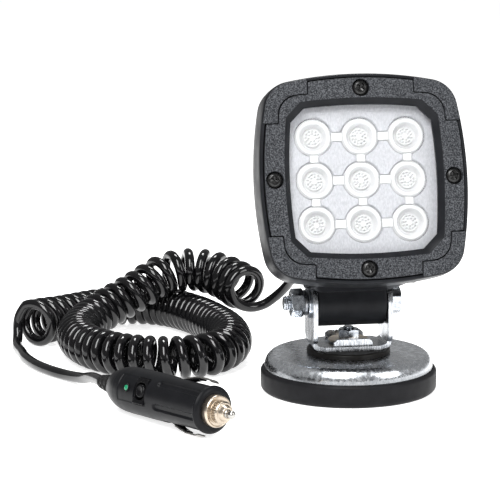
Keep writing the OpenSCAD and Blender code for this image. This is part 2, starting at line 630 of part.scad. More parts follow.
// Sprung side contact: a bent leaf, drawn for the +Z side
module leaf() {
  rise = [[0, 7.7], [5, 7.7], [7, 9.8], [13, 11.4], [19, 12.9], [23, 13.4], [28, 13.4], [31, 12.8]];
  top = [for (p = rise) p + [leaf_s, 0]];
  under = [for (i = [len(top) - 1:-1:0]) top[i] - [0, 0.7]];
  translate([0, leaf_w / 2, 0]) rotate([90, 0, 0]) linear_extrude(leaf_w) polygon(concat(top, under));
}
module contact_upper() color("#d6d9dc") on_plug() leaf();
module contact_lower() color("#d6d9dc") on_plug() mirror([0, 0, 1]) leaf();
module switch_frame() color("#101112") on_plug() difference() {
  box([switch_s[0] + 0.1, -barrel_r - 0.1, -6.3], [switch_s[1] - 0.1, -4.2, 6.3]);
  box([switch_s[0] + 0.6, -20, -4.2], [switch_s[1] - 0.6, -5.4, 4.2]);
}
module switch_rocker() color("#08090a") on_plug()
  translate([(switch_s[0] + switch_s[1]) / 2, -6.2, 0]) rotate([90, 0, 0]) rotate_extrude() polygon([
    [0, 0], [3.1, 0], [3.3, 4.4], [2.8, 5.2], [0, 4.8]]);
module indicator_lens() color("#3fae62") on_plug() translate([led_s, -barrel_r + 2.3, 0])
  rotate([90, 0, 0]) rotate_extrude() polygon(concat(
    [[0, 0], [1.5, 0]], [for (a = [0:18:90]) [1.5 * cos(a), 2 + 0.9 * sin(a)]]));
module plug_board() color("#2f6b3f") on_plug() box([led_s - 9.5, 1, -6.5], [led_s + 10, 2.4, 6.5]);

rubber_boot();
magnet_cup();
ring_magnet();
pole_piece();
centre_stud();
swivel_pad();
clamp_washer();
clamp_nut();
u_bracket();
pivot_bolt();
pivot_nut();
lock_washer();
flat_washer();
front_bezel();
bezel_screws();
lens_cover();
lens_gasket();
reflector_plate();
optic_lenses();
led_chips();
led_board();
board_screws();
thermal_pad();
front_housing();
heat_sink();
heat_sink_screws();
rear_housing();
rear_gasket();
rear_screws();
driver_board();
driver_parts();
cable_gland();
gland_seal();
gland_nut();
vent_plug();
pivot_sleeve();
cord_lead();
cord_coil();
cord_tail();
plug_strain_relief();
plug_shell_face();
plug_shell_back();
plug_collar();
plug_nose();
plug_tip();
tip_spring();
plug_fuse();
contact_upper();
contact_lower();
switch_frame();
switch_rocker();
indicator_lens();
plug_board();
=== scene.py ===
"""Work light: a square nine-lamp head on a U bracket and a magnetic base, with a curly cord and plug."""
import json
from math import asin, atan2, ceil, cos, degrees, dist, floor, hypot, pi, radians, sin, sqrt

import bmesh
import bpy
import numpy as np
from mathutils import Matrix, Vector


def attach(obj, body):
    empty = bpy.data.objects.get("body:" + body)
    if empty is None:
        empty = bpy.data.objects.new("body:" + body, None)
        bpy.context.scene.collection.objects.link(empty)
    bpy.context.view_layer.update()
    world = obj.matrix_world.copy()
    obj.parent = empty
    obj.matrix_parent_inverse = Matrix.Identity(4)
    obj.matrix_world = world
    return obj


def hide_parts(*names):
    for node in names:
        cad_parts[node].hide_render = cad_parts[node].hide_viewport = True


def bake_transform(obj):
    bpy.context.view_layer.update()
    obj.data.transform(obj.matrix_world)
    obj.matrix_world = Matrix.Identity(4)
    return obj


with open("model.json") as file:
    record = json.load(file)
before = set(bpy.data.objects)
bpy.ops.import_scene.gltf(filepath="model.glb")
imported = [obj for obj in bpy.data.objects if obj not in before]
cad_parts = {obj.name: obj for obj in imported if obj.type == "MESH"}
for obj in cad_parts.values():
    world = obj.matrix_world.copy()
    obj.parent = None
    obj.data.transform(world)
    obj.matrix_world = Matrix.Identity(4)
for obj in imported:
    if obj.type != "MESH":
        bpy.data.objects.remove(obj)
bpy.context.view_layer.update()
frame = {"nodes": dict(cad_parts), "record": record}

nodes = frame["nodes"]
scene = bpy.context.scene
MM = 0.001

# --- sizes in millimetres, as in the part's source ---

BOOT_R, BOOT_IN_R, BOOT_H, BOOT_FLOOR = 45, 43.04, 11.5, 1.5
CUP_R, CUP_FLAT_R, CUP_BORE_R, CUP_WALL = 43, 38.3, 3.6, 2.6
CUP_TOP, CUP_CEILING, SHOULDER_Z = 18.8, 16.2, 12.1
M6_R, M6_FLATS, M6_PITCH, STUD_TOP = 3, 10, 1, 32.3
M8_R, M8_FLATS, M8_PITCH = 4, 13, 1.25
PAD_R, PAD_T = 21.4, 3
PAD_Z = CUP_TOP + PAD_T
STRIP_W, STRIP_T, ARM_GAP = 25, 2.3, 36.2
PLATE_Z = PAD_Z + STRIP_T
BEND_R, LIP_BEND_R, LIP_T, LIP_HALF = 2.6, 1.8, 1.6, 10
ARM_OUT = ARM_GAP / 2 + STRIP_T
WASHER_Z, WASHER_R = PLATE_Z + 2, 10.5
PIVOT_Z, LEAN = 45.2, 15
FACE_Y, FACE_Z = 55.4, 56.2
HEAD_HALF, BODY_DEPTH, BEZEL_T, COVER_T = 52, 21.5, 4.6, 2.6
SIDE_R, CORNER_R = 190, 15
BEZEL_HALF, BEZEL_HOLE, SCREW_RING = 49.1, 39.4, 44.3
WINDOW, WINDOW_FLAT, WINDOW_SIDE = 36.5, 28, 35
OPTICS_S, WELL_END, WELL_HALF, WELL_CORNER = 8.4, 18.3, 39.7, 6
PITCH_X, PITCH_Z, OPTIC_R = 23.2, 21.4, 9.1
BAR_HALF, BAR_T, CHANNEL_HALF = 2.1, 0.9, 2.4
BOX_END, BOX_TOP = 52, 36
SINK_HALF, SINK_TOP, SINK_CUT = 39.5, 38, 4
FIN_S, FIN_END, FIN_REACH, FINS = 25, 43, 32, 11
FIN_TALL, FIN_SHORT, SHORT_PAST = 37, 29, 22
GLAND_X, GLAND_Z, GLAND_REACH, GLAND_FLATS = -18, 25, 17, 15
CABLE_R, CORD_STEP, ROUTE_STEPS = 2.8, 1.4, 12
BARREL_R, RELIEF_LEN, LEAF_W = 11, 11.5, 4.8
GROOVE_S, GROOVE_ANGLE = 57.7, 31
PANEL_S, LED_S, SWITCH_S, LEAF_S = (27.5, 40.5), 35, (41.2, 49.8), 54
COLLAR_S, NOSE_S, TIP_S, TIP_END, BALL_R = 86.8, 89.4, 83.8, 104, 1.98
PLUG_START, PLUG_HEADING, PLUG_RISE, PLUG_ROLL = (-127, -11, 11.2), -59.2, 1.8, 21

LEAD_ROUTE = [
    (-18, 19.7, 65.8), (-18, 34, 62), (-17, 50, 58.5), (-14.5, 68, 54.5), (-12, 86, 49),
    (-10.5, 102, 40), (-13, 114, 31), (-19, 122, 23), (-27, 124.5, 17.5), (-34, 120.5, 16)]
COIL_ROUTE = [
    (-34, 118.5, 28.5), (-39, 131, 31.3), (-48, 142.5, 34.5), (-61, 150, 36.4), (-77, 149.5, 34.6),
    (-96, 141, 26), (-112, 134, 19), (-125, 120, 14), (-132, 97, 12), (-129, 70, 12),
    (-117, 48, 12), (-100, 35, 12), (-82, 31, 12), (-65, 38, 12), (-53, 58, 12),
    (-50, 86, 12), (-54, 113, 12), (-62, 140, 12), (-75, 163, 12), (-94, 173, 12),
    (-114, 168, 12), (-134, 147, 12.8), (-156.5, 120, 14)]
TAIL_ROUTE = [
    (-163, 126, 8), (-164.5, 120, 3.8), (-164.5, 112, 3), (-163, 100, 3),
    (-161, 84, 3), (-156, 66, 3), (-149, 51, 3), (-141, 38, 3.2), (-134.5, 23, 5.2),
    (-130.5, 7, 9), (-127, -11, 11.2)]


# --- places ---

def turn(angle, axis):
    return Matrix.Rotation(radians(angle), 4, axis)


def move(x, y, z):
    return Matrix.Translation(Vector((x, y, z)) * MM)


ORIGIN = Matrix.Identity(4)
HEAD = move(0, 0, PIVOT_Z) @ turn(-LEAN, "X")
# on the face: x to the right, y up the head, z out of the face
FACE = HEAD @ move(0, -FACE_Y, FACE_Z) @ turn(90, "X")
# along the tilt bolt: z to the right
BOLT = move(0, 0, PIVOT_Z) @ turn(90, "Y")
PLUG = move(*PLUG_START) @ turn(PLUG_HEADING, "Z") @ turn(-PLUG_RISE, "Y") @ turn(-PLUG_ROLL, "X")
# along the plug: z towards the tip, the marked face at angle -90
BARREL = PLUG @ turn(90, "Y")


def behind(x, z, depth):
    """A place behind the head in its upright frame, with local z pointing backwards."""
    return HEAD @ move(x, depth - FACE_Y, z) @ turn(-90, "X")


# --- camera ---

def added(name, data):
    """A new object of the scene that holds the data."""
    obj = bpy.data.objects.new(name, data)
    scene.collection.objects.link(obj)
    return obj


def make_camera():
    azimuth, elevation = radians(-11.73), radians(13.93)
    distance, lens = 1.0, 139.68
    back = Vector((sin(azimuth) * cos(elevation), -cos(azimuth) * cos(elevation), sin(elevation)))
    right = Vector((cos(azimuth), sin(azimuth), 0))
    up = back.cross(right)
    aside, above, roll = (radians(a) for a in (2.92, 4.03, 0.41))
    aim = Matrix.Rotation(aside, 3, up) @ Matrix.Rotation(above, 3, right)
    aim = Matrix.Rotation(roll, 3, aim @ back) @ aim
    rotation = Matrix([aim @ right, aim @ up, aim @ back]).transposed()
    camera = added("camera", bpy.data.cameras.new("camera"))
    camera.matrix_world = Matrix.Translation(back * distance) @ rotation.to_4x4()
    camera.data.lens = lens
    camera.data.clip_start, camera.data.clip_end = 0.01, 100
    scene.camera = camera


make_camera()


# --- mesh helpers ---

SHARP = radians(35)  # edges that turn more than this stay sharp
SAME_PLACE = 1e-5


def solid(name, vertices, faces, place):
    """A mesh object from points in millimetres."""
    mesh = bpy.data.meshes.new(name)
    mesh.from_pydata([tuple(v) for v in vertices], [], faces)
    return dressed(name, mesh, place @ Matrix.Scale(MM, 4))


def dressed(name, mesh, place):
    """An object of a mesh moved to its place, with doubles merged and smooth shading."""
    work = bmesh.new()
    work.from_mesh(mesh)
    bmesh.ops.remove_doubles(work, verts=work.verts, dist=SAME_PLACE)
    bmesh.ops.recalc_face_normals(work, faces=work.faces)
    work.to_mesh(mesh)
    work.free()
    mesh.transform(place)
    mesh.shade_smooth()
    mesh.set_sharp_from_angle(angle=SHARP)
    return added(name, mesh)


def rounded(points, closed=False, steps=4):
    """An outline with its corners rounded: a point is (x, y) or (x, y, how far the rounding reaches)."""
    most = 0.48  # share of a side that one corner may use
    out = []
    for i, point in enumerate(points):
        here = Vector(point[:2])
        if len(point) < 3 or (not closed and i in (0, len(points) - 1)):
            out.append(tuple(here))
            continue
        before = Vector(points[i - 1][:2]) - here
        after = Vector(points[(i + 1) % len(points)][:2]) - here
        reach = min(point[2], most * before.length, most * after.length)
        a, b = here + before.normalized() * reach, here + after.normalized() * reach
        for k in range(steps + 1):
            t = k / steps
            out.append(tuple((1 - t) ** 2 * a + 2 * t * (1 - t) * here + t * t * b))
    return out


def rectangle(half_x, half_y, corner, steps=4):
    """A rounded rectangle about the middle, anticlockwise from its lower left corner."""
    signs = ((-1, -1), (1, -1), (1, 1), (-1, 1))
    return rounded([(x * half_x, y * half_y, corner) for x, y in signs], True, steps)


def arc(x, y, reach_x, reach_y, angles):
    """Points round (x, y) at some angles in degrees, on a circle or on an upright ellipse."""
    return [(x + reach_x * cos(a), y + reach_y * sin(a)) for a in np.radians(angles)]


def circle(radius, middle=(0, 0), count=64):
    return arc(*middle, radius, radius, np.arange(count) * 360 / count)


def finer(points, step):
    """The same outline with no piece of it longer than step."""
    out = [points[0]]
    for a, b in zip(points, points[1:]):
        n = max(1, ceil(dist(a, b) / step))
        out += [tuple(a[i] + (b[i] - a[i]) * k / n for i in range(2)) for k in range(1, n + 1)]
    return out


def lathe(name, profile, place, count=96, shape=None, span=None, step=None):
    """A turned solid about local z from (radius, z) points; off the axis the profile closes on itself.

    shape(r, angle, z) gives the real (r, z), span is where the turn starts and ends, and step is the
    longest stretch between two rings.
    """
    points = rounded(profile if profile[0][0] == 0 else [*profile, profile[0]])
    points = finer(points, step) if step else points
    low, high = span or (0, 2 * pi)
    steps = range(count + 1 if span else count)
    vertices, rings = [], []
    for r, z in points:
        if r < SAME_PLACE:
            rings.append([len(vertices)] * len(steps))
            vertices.append((0, 0, z))
            continue
        rings.append(list(range(len(vertices), len(vertices) + len(steps))))
        for k in steps:
            a = low + (high - low) * k / count
            rr, zz = shape(r, a, z) if shape else (r, z)
            vertices.append((rr * cos(a), rr * sin(a), zz))
    faces = []
    for lower, upper in zip(rings, rings[1:]):
        for k in range(count):
            n = (k + 1) % len(steps)
            face = [lower[k], lower[n], upper[n], upper[k]]
            face = [v for i, v in enumerate(face) if v != face[i - 1]]
            if len(face) > 2:
                faces.append(face)
    if span:
        faces += [[ring[end] for ring in rings] for end in (0, -1)]
    return solid(name, vertices, faces, place)


def loft(name, loops, place, closed=False):
    """A solid through loops of 3-D points, all of one count, with a face at each end unless closed."""
    count = len(loops[0])
    vertices = [p for loop in loops for p in loop]
    faces = []
    for i in range(len(loops) if closed else len(loops) - 1):
        a, b = i * count, (i + 1) % len(loops) * count
        faces += [[a + k, a + (k + 1) % count, b + (k + 1) % count, b + k] for k in range(count)]
    if not closed:
        faces += [list(range(count)), list(range((len(loops) - 1) * count, len(loops) * count))]
    return solid(name, vertices, faces, place)


def plate(name, outlines, thickness, place, edge=0.3):
    """A flat piece with rounded edges from local z = -thickness to 0; outlines after the first are holes."""
    curve = bpy.data.curves.new(name, "CURVE")
    curve.dimensions, curve.fill_mode = "2D", "BOTH"
    curve.extrude, curve.bevel_depth, curve.offset = thickness / 2 - edge, edge, -edge
    curve.bevel_resolution = 2
    for outline in outlines:
        spline = curve.splines.new("POLY")
        spline.points.add(len(outline) - 1)
        for point, (x, y) in zip(spline.points, outline):
            point.co = (x, y, 0, 1)
        spline.use_cyclic_u = True
    shape = added(name, curve)
    mesh = bpy.data.meshes.new_from_object(shape.evaluated_get(bpy.context.evaluated_depsgraph_get()))
    bpy.data.objects.remove(shape)
    bpy.data.curves.remove(curve)
    mesh.materials.clear()
    middle = Matrix.Scale(MM, 4) @ Matrix.Translation((0, 0, -thickness / 2))
    return weighted(dressed(name, mesh, place @ middle))


def weighted(obj):
    """The object with its flat faces shaded flat right up to their rounded edges."""
    obj.modifiers.new("normals", "WEIGHTED_NORMAL").keep_sharp = True
    return obj


def bevel(obj, width, segments=2):
    modifier = obj.modifiers.new("edges", "BEVEL")
    modifier.width, modifier.segments = width * MM, segments
    modifier.limit_method, modifier.angle_limit = "ANGLE", SHARP
    return weighted(obj)


def ribbon(name, path, half_width, thickness, place, edge=0.25):
    """A bent strip: path is in local x and z, half_width(i) gives its half width along y."""
    loops = []
    for i, here in enumerate(path):
        a, b = Vector(path[max(0, i - 1)]), Vector(path[min(len(path) - 1, i + 1)])
        along = (b - a).normalized()
        out = Vector((-along.y, along.x)) * thickness / 2
        w = half_width(i)
        top, under = Vector(here) + out, Vector(here) - out
        loops.append([(top.x, -w, top.y), (top.x, w, top.y), (under.x, w, under.y), (under.x, -w, under.y)])
    return bevel(loft(name, loops, place), edge)


def curve_through(route, steps):
    """Points of a smooth curve through the route, as the part's source draws it."""
    points = []
    for i in range(len(route) - 1):
        a, b, c, d = (np.array(route[max(0, min(len(route) - 1, i + k))], float) for k in (-1, 0, 1, 2))
        for k in range(steps):
            t = k / steps
            points.append(b + t * (c - a) / 2 + t * t * (a - 2.5 * b + 2 * c - d / 2)
                          + t ** 3 * (1.5 * b - a / 2 - 1.5 * c + d / 2))
    return np.array([*points, route[-1]], float)


def distances(points):
    """How far along the line each of its points is."""
    return np.concatenate([[0], np.cumsum(np.linalg.norm(np.diff(points, axis=0), axis=1))])


def unit(vectors):
    return vectors / np.linalg.norm(vectors, axis=1)[:, None]


def between(points, known, at):
    """Points in between, where known says how far along each given point is."""
    return np.stack([np.interp(at, known, column) for column in points.T], axis=1)


def evenly(points, step):
    """The line through the points, with points a step apart."""
    far = distances(points)
    return between(points, far, np.linspace(0, far[-1], max(2, round(far[-1] / step)) + 1))


def tube(name, path, radius, sides=14):
    """A round cable of one radius along a path in millimetres, with closed ends."""
    ahead = unit(np.gradient(path, axis=0))
    side = np.cross(ahead[0], (0, 0, 1.0))
    loops = []
    for here, along in zip(path, ahead):
        side = side - along * side.dot(along)
        side /= np.linalg.norm(side)
        other = np.cross(along, side)
        turns = [2 * pi * k / sides for k in range(sides)]
        loops.append([here + radius * (cos(a) * side + sin(a) * other) for a in turns])
    return loft(name, loops, ORIGIN)


# --- cord ---

# distance along the curly part, pitch of its turns
PITCHES = [
    (0, 8.3), (32, 8.5), (60, 8.5), (80, 7.6), (115, 6.8), (165, 6.2), (215, 7), (250, 7.9), (290, 7.4),
    (325, 6.1), (370, 5.9), (405, 6.5), (440, 7.4), (491, 9)]
# distance along the curly part, radius of its turns
CURLS = [(0, 11.4), (14, 10.8), (40, 9.9), (75, 9.2), (160, 8.8), (440, 8.8), (470, 9.6), (494, 11)]
START_TURN, END_TURN = -0.25, 0.5
TURN_STEPS = 40
LINE_STEP = 0.2
LEAN_SPAN = 41  # how many points of the line the lean of the turns is averaged over


def curly(route):
    """The cable's own line along the curly part: a right-handed helix about the route."""
    line = evenly(curve_through(route, 2 * ROUTE_STEPS), LINE_STEP)
    far = distances(line)
    turns = np.concatenate([[0], np.cumsum(LINE_STEP / np.interp(far[1:], *zip(*PITCHES)))])
    whole = round(turns[-1] - (END_TURN - START_TURN)) + END_TURN - START_TURN
    turns *= whole / turns[-1]
    # the line may bend, but the turns lean no faster than the cable lets them
    smooth = np.ones(LEAN_SPAN) / LEAN_SPAN
    ahead = np.pad(unit(np.gradient(line, axis=0)), ((LEAN_SPAN // 2, LEAN_SPAN // 2), (0, 0)), "edge")
    ahead = np.stack([np.convolve(column, smooth, "valid") for column in ahead.T], axis=1)
    at = np.linspace(0, whole, round(whole * TURN_STEPS) + 1)
    place, along = between(line, turns, at), unit(between(ahead, turns, at))
    side = unit(np.cross((0, 0, 1.0), along))
    above = np.cross(along, side)
    radius = np.interp(np.interp(at, turns, far), *zip(*CURLS))
    angle = 2 * pi * (at + START_TURN)
    return place + radius[:, None] * (np.cos(angle)[:, None] * side + np.sin(angle)[:, None] * above)


def relaxed(path, join, reach, rounds=30):
    """The path smoothed a number of points either way of a join, which takes the corner out of it."""
    path, first, last = path.copy(), join - reach, join + reach
    inner = slice(first + 1, last)
    for _ in range(rounds):
        path[inner] = (path[first:last - 1] + path[first + 2:last + 1]) / 2 * 0.5 + path[inner] * 0.5
    return path


SPLIT = 4  # the lead's point where the upper piece ends
IN_GLAND, IN_PLUG = 9, 8  # how far the cable reaches into the gland and the plug


def cord_paths():
    """The upper lead's line, and that of the rest of the cord from the split to the plug."""
    lead = curve_through(LEAD_ROUTE, ROUTE_STEPS)
    split = SPLIT * ROUTE_STEPS
    inside = lead[0] + (lead[0] - lead[1]) / np.linalg.norm(lead[0] - lead[1]) * IN_GLAND
    upper = evenly(np.vstack([inside, lead[:split + 1]]), CORD_STEP)
    rest = evenly(lead[split:-4], CORD_STEP)
    coil = curly(COIL_ROUTE)
    tail = curve_through([tuple(coil[-1])] + TAIL_ROUTE, ROUTE_STEPS)
    into = np.array((PLUG @ Vector((IN_PLUG * MM, 0, 0))) / MM)
    tail = evenly(np.vstack([tail, into]), CORD_STEP)
    coil = coil[3:]
    main = relaxed(np.vstack([rest, coil, tail[1:]]), len(rest), 9)
    return upper, relaxed(main, len(rest) + len(coil), 8)


upper_path, main_path = cord_paths()
upper_lead = tube("cord_upper_lead", upper_path, CABLE_R)
curly_cord = tube("cord_curly", main_path, CABLE_R)


# --- materials ---

class Surface:
    """A node material: noise in the frame's own space gives it its colour variation, gloss and grain."""

    def __init__(self, name, colour, roughness, metallic=0.0, stretch=(1, 1, 1), **sockets):
        self.material = bpy.data.materials.new(name)
        self.material.use_nodes = True
        self.tree = self.material.node_tree
        self.shader = self.tree.nodes["Principled BSDF"]
        self.name, self.colour, self.roughness = name, colour, roughness
        self.shader.inputs["Base Color"].default_value = (*colour, 1)
        self.shader.inputs["Roughness"].default_value = roughness
        self.shader.inputs["Metallic"].default_value = metallic
        for socket, value in sockets.items():
            self.shader.inputs[socket.replace("_", " ")].default_value = value
        self.place = self.add("ShaderNodeMapping")
        self.place.inputs["Scale"].default_value = stretch
        self.join(self.add("ShaderNodeTexCoord").outputs["Object"], self.place.inputs["Vector"])
        self.vector = self.place.outputs["Vector"]

    def add(self, kind, **inputs):
        node = self.tree.nodes.new(kind)
        for socket, value in inputs.items():
            node.inputs[socket].default_value = value
        return node

    def join(self, out, into):
        self.tree.links.new(out, into)

    def noise(self, size, detail=3):
        node = self.add("ShaderNodeTexNoise", Scale=1 / (size * MM), Detail=detail)
        self.join(self.vector, node.inputs["Vector"])
        return node.outputs["Fac"]

    def ramp(self, value, low, high, start=0.35, end=0.65):
        ends = {"From Min": start, "From Max": end, "To Min": low, "To Max": high}
        node = self.add("ShaderNodeMapRange", **ends)
        self.join(value, node.inputs["Value"])
        return node.outputs["Result"]

    def mottled(self, size, other, start=0.35, end=0.65):
        """The colour drifts to another one in patches of a size."""
        node = self.add("ShaderNodeMix")
        node.data_type = "RGBA"
        node.inputs["A"].default_value = (*self.colour, 1)
        node.inputs["B"].default_value = (*other, 1)
        self.join(self.ramp(self.noise(size), 0, 1, start, end), node.inputs["Factor"])
        return self.feed("Base Color", node.outputs["Result"])

    def painted_dark_reflection_below(self, low, high, share):
        """Painted dark reflection: the colour falls to a share of itself between two heights in millimetres,
        darker below.
        """
        apart = self.add("ShaderNodeSeparateXYZ")
        self.join(self.vector, apart.inputs["Vector"])
        shade = self.ramp(apart.outputs["Z"], share, 1, low * MM, high * MM)
        link = self.shader.inputs["Base Color"].links[0]
        scale = self.add("ShaderNodeVectorMath")
        scale.operation = "SCALE"
        self.join(link.from_socket, scale.inputs[0])
        self.join(shade, scale.inputs["Scale"])
        return self.feed("Base Color", scale.outputs["Vector"])

    def feed(self, socket, out):
        self.join(out, self.shader.inputs[socket])
        return self

    def uneven(self, size, spread):
        """The roughness varies in patches of a size."""
        low, high = self.roughness - spread, self.roughness + spread
        return self.feed("Roughness", self.ramp(self.noise(size), low, high))

    def bump(self, size, height, detail=3):
        node = self.add("ShaderNodeBump", Distance=height * MM, Strength=1.0)
        self.join(self.noise(size, detail), node.inputs["Height"])
        return node

    def grained(self, size, height, detail=3, second=None):
        """A fine relief: its size and height in millimetres, and those of a coarser one if given."""
        bump = self.bump(size, height, detail)
        if second:
            self.join(self.bump(*second).outputs["Normal"], bump.inputs["Normal"])
        return self.feed("Normal", bump.outputs["Normal"])


def plastic(name, colour, roughness, size=0.35, height=0.02, **sockets):
    lighter = tuple(c * 1.35 for c in colour)
    surface = Surface(name, colour, roughness, **{"Specular_IOR_Level": 0.09, **sockets})
    return surface.mottled(6, lighter).uneven(9, 0.05).grained(size, height)


def metal(name, colour, roughness, spread=0.08, size=0.5, height=0.004):
    darker = tuple(c * 0.82 for c in colour)
    return Surface(name, colour, roughness, 1.0).mottled(2.5, darker).uneven(3, spread).grained(size, height)


def black_plastics():
    grained = Surface("grained_plastic", (0.008, 0.009, 0.011), 0.5, Specular_IOR_Level=0.16)
    grained.mottled(0.6, (0.088, 0.092, 0.1), 0.42, 0.7).uneven(4, 0.06).grained(0.6, 0.045, 2, (0.9, 0.02))
    jacket = Surface("cord_jacket", (0.002, 0.002, 0.0024), 0.13, Specular_IOR_Level=0.42)
    jacket.uneven(5, 0.04).mottled(30, (0.005, 0.005, 0.0055))
    return [
        grained, jacket,
        plastic("boot_rubber", (0.008, 0.008, 0.009), 0.5, 0.25, 0.012),
        plastic("pad_rubber", (0.006, 0.0055, 0.005), 0.4, Specular_IOR_Level=0.14),
        plastic("seal_rubber", (0.01, 0.01, 0.01), 0.65),
        plastic("relief_rubber", (0.012, 0.012, 0.012), 0.5),
        plastic("moulded_plastic", (0.009, 0.0095, 0.011), 0.36, 0.3, 0.006),
        plastic("plug_plastic", (0.0055, 0.0057, 0.0066), 0.33, 0.25, 0.012),
        plastic("switch_black", (0.004, 0.004, 0.0045), 0.25, 0.3, 0.004),
        plastic("gland_nylon", (0.012, 0.012, 0.013), 0.42),
        plastic("component_black", (0.02, 0.02, 0.02), 0.45),
        plastic("black_aluminium", (0.02, 0.02, 0.0215), 0.45, 0.3, 0.03, Specular_IOR_Level=0.3),
        plastic("ferrite", (0.08, 0.08, 0.085), 0.7),
        plastic("thermal_grey", (0.3, 0.34, 0.4), 0.7)]


def metals():
    dome = Surface("zinc_plate", (0.6, 0.63, 0.67), 0.25, 1.0).mottled(1.4, (0.86, 0.885, 0.92), 0.32, 0.68)
    # painted dark reflection: the dome's colour falls to 0.35 of itself below 12.6 mm and is back to full by
    # 15.2 mm, on the cup's lower shoulder
    dome.uneven(2, 0.08).grained(0.7, 0.006, 3, (3, 0.012)).painted_dark_reflection_below(12.6, 15.2, 0.35)
    zinc = Surface("zinc_steel", (0.3, 0.32, 0.35), 0.2, 1.0).mottled(1.8, (0.56, 0.59, 0.63), 0.34, 0.66)
    zinc.uneven(2, 0.05).grained(0.6, 0.003)
    bracket = Surface("bracket_zinc", (0.33, 0.345, 0.37), 0.27, 1.0, (1, 1, 0.2))
    bracket.mottled(0.6, (0.66, 0.68, 0.71)).uneven(2, 0.08).grained(0.4, 0.01)
    screws = Surface("black_screws", (0.012, 0.012, 0.012), 0.26, 0.5).mottled(1.5, (0.02, 0.02, 0.02))
    screws.uneven(1, 0.08).grained(0.4, 0.01)
    return [
        dome, zinc, bracket, screws,
        metal("bare_steel", (0.45, 0.46, 0.48), 0.3),
        metal("spring_steel", (0.3, 0.31, 0.33), 0.3),
        metal("yellow_zinc", (0.86, 0.77, 0.66), 0.4),
        metal("nickel_warm", (0.5, 0.43, 0.35), 0.3, 0.05, 0.8, 0.002),
        metal("nickel_bright", (0.4, 0.39, 0.37), 0.26, 0.05, 0.8, 0.002)]


def clear_and_pale():
    silver = Surface("silver_plate", (0.46, 0.465, 0.485), 0.4, 0.1, (1, 1, 0.3))
    silver.mottled(0.6, (0.37, 0.375, 0.395)).uneven(3, 0.06).grained(0.5, 0.02)
    cover = {"Transmission_Weight": 1.0, "IOR": 1.3, "Alpha": 0.25}
    optic = {"Transmission_Weight": 0.25, "IOR": 1.45}
    return [
        silver,
        Surface("clear_polycarbonate", (0.97, 0.985, 1.0), 0.03, **cover).uneven(14, 0.02),
        Surface("clear_acrylic", (0.76, 0.765, 0.77), 0.1, **optic).uneven(2, 0.05),
        Surface("indicator_green", (0.01, 0.26, 0.12), 0.12, Transmission_Weight=0.3).uneven(0.8, 0.05),
        Surface("fuse_glass", (0.85, 0.88, 0.9), 0.08, Transmission_Weight=0.8).uneven(2, 0.03),
        Surface("led_ceramic", (0.9, 0.86, 0.55), 0.35).mottled(1, (0.95, 0.9, 0.4)),
        Surface("board_white", (0.86, 0.86, 0.84), 0.3).mottled(5, (0.8, 0.8, 0.78)),
        Surface("board_green", (0.02, 0.16, 0.06), 0.35).mottled(1.2, (0.03, 0.24, 0.09)).uneven(2, 0.08)]


materials = {surface.name: surface.material for surface in black_plastics() + metals() + clear_and_pale()}
slot_of = {row["node"]: row["material_slot"] for row in frame["record"]["subparts"]}


def fit(obj, body, node=None, slot=None):
    """Gives a finished piece its body and that node's material unless told, and hides the CAD node it stands
    for.
    """
    slot = slot or slot_of[node]
    obj.data.materials.clear()
    obj.data.materials.append(materials[slot])
    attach(obj, body)
    if node:
        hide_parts(node)
    return obj


for node_name, node in nodes.items():
    node.data.materials.clear()
    node.data.materials.append(materials[slot_of[node_name]])

for cable in (upper_lead, curly_cord):
    cable.data.materials.append(materials["cord_jacket"])
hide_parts("cord_lead", "cord_coil", "cord_tail")
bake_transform(upper_lead)
# x + z falls from 37 mm where the two pieces meet to 12 mm, which every other part of the cord is under
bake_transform(curly_cord)


# --- turned and hexagonal shapes ---

def ease(low, high, value):
    """How far value is on its way from low to high, 0 to 1, with a soft start and end."""
    t = max(0.0, min(1.0, (value - low) / (high - low)))
    return t * t * (3 - 2 * t)


def hexed(flats, start, low=0):
    """A lathe's shape with six flats above a height, and a corner at start degrees."""
    def shape(r, a, z):
        side = flats / 2 / cos((a - radians(start)) % (pi / 3) - pi / 6)
        return (min(r, side) if z >= low else r), z
    return shape


def threaded(radius, pitch, low, high):
    """A lathe's shape with a thread between two heights."""
    def shape(r, a, z):
        if not low < z < high or r <= 1:
            return r, z
        phase = (z / pitch - a / (2 * pi)) % 1
        return min(r, radius - 0.55 * pitch * abs(2 * phase - 1)), z
    return shape


def hex_nut(name, flats, height, bore, start, place):
    chamfer, face, corner = flats * 0.07, flats / 2 * 0.98, flats / sqrt(3) + 0.3
    return lathe(name, [
        (bore, 0), (face, 0), (corner, chamfer), (corner, height - chamfer), (face, height),
        (bore + 0.5, height), (bore, height - 0.5)], place, 144, hexed(flats, start), step=0.3)


def pan_screw(name, place, head_r, head_t, shank_r, length, recess):
    """A cross-recess screw with its head's top at local z = 0 and its shank towards -z."""
    slot = recess * 0.3

    def cross(r, a, z):
        x, y = abs(r * cos(a)), abs(r * sin(a))
        arm, across = max(x, y), min(x, y)
        inside = ease(recess, recess - 0.35, arm) * ease(slot, slot - 0.25, across)
        deep = 0.75 * head_t * inside * (1 - 0.5 * arm / recess)
        return (r, z - deep) if z > -head_t * 0.6 and r < recess + 0.2 else (r, z)

    profile = [
        (0, 0), (head_r * 0.55, -0.06), (head_r * 0.84, -head_t * 0.28, 0.8), (head_r, -head_t * 0.72, 0.4),
        (head_r, -head_t), (shank_r, -head_t), (shank_r, 0.8 - length), (shank_r - 0.7, -length),
        (0, -length)]
    return lathe(name, profile, place, 96, cross, step=head_r * 0.045)


# --- magnetic base ---

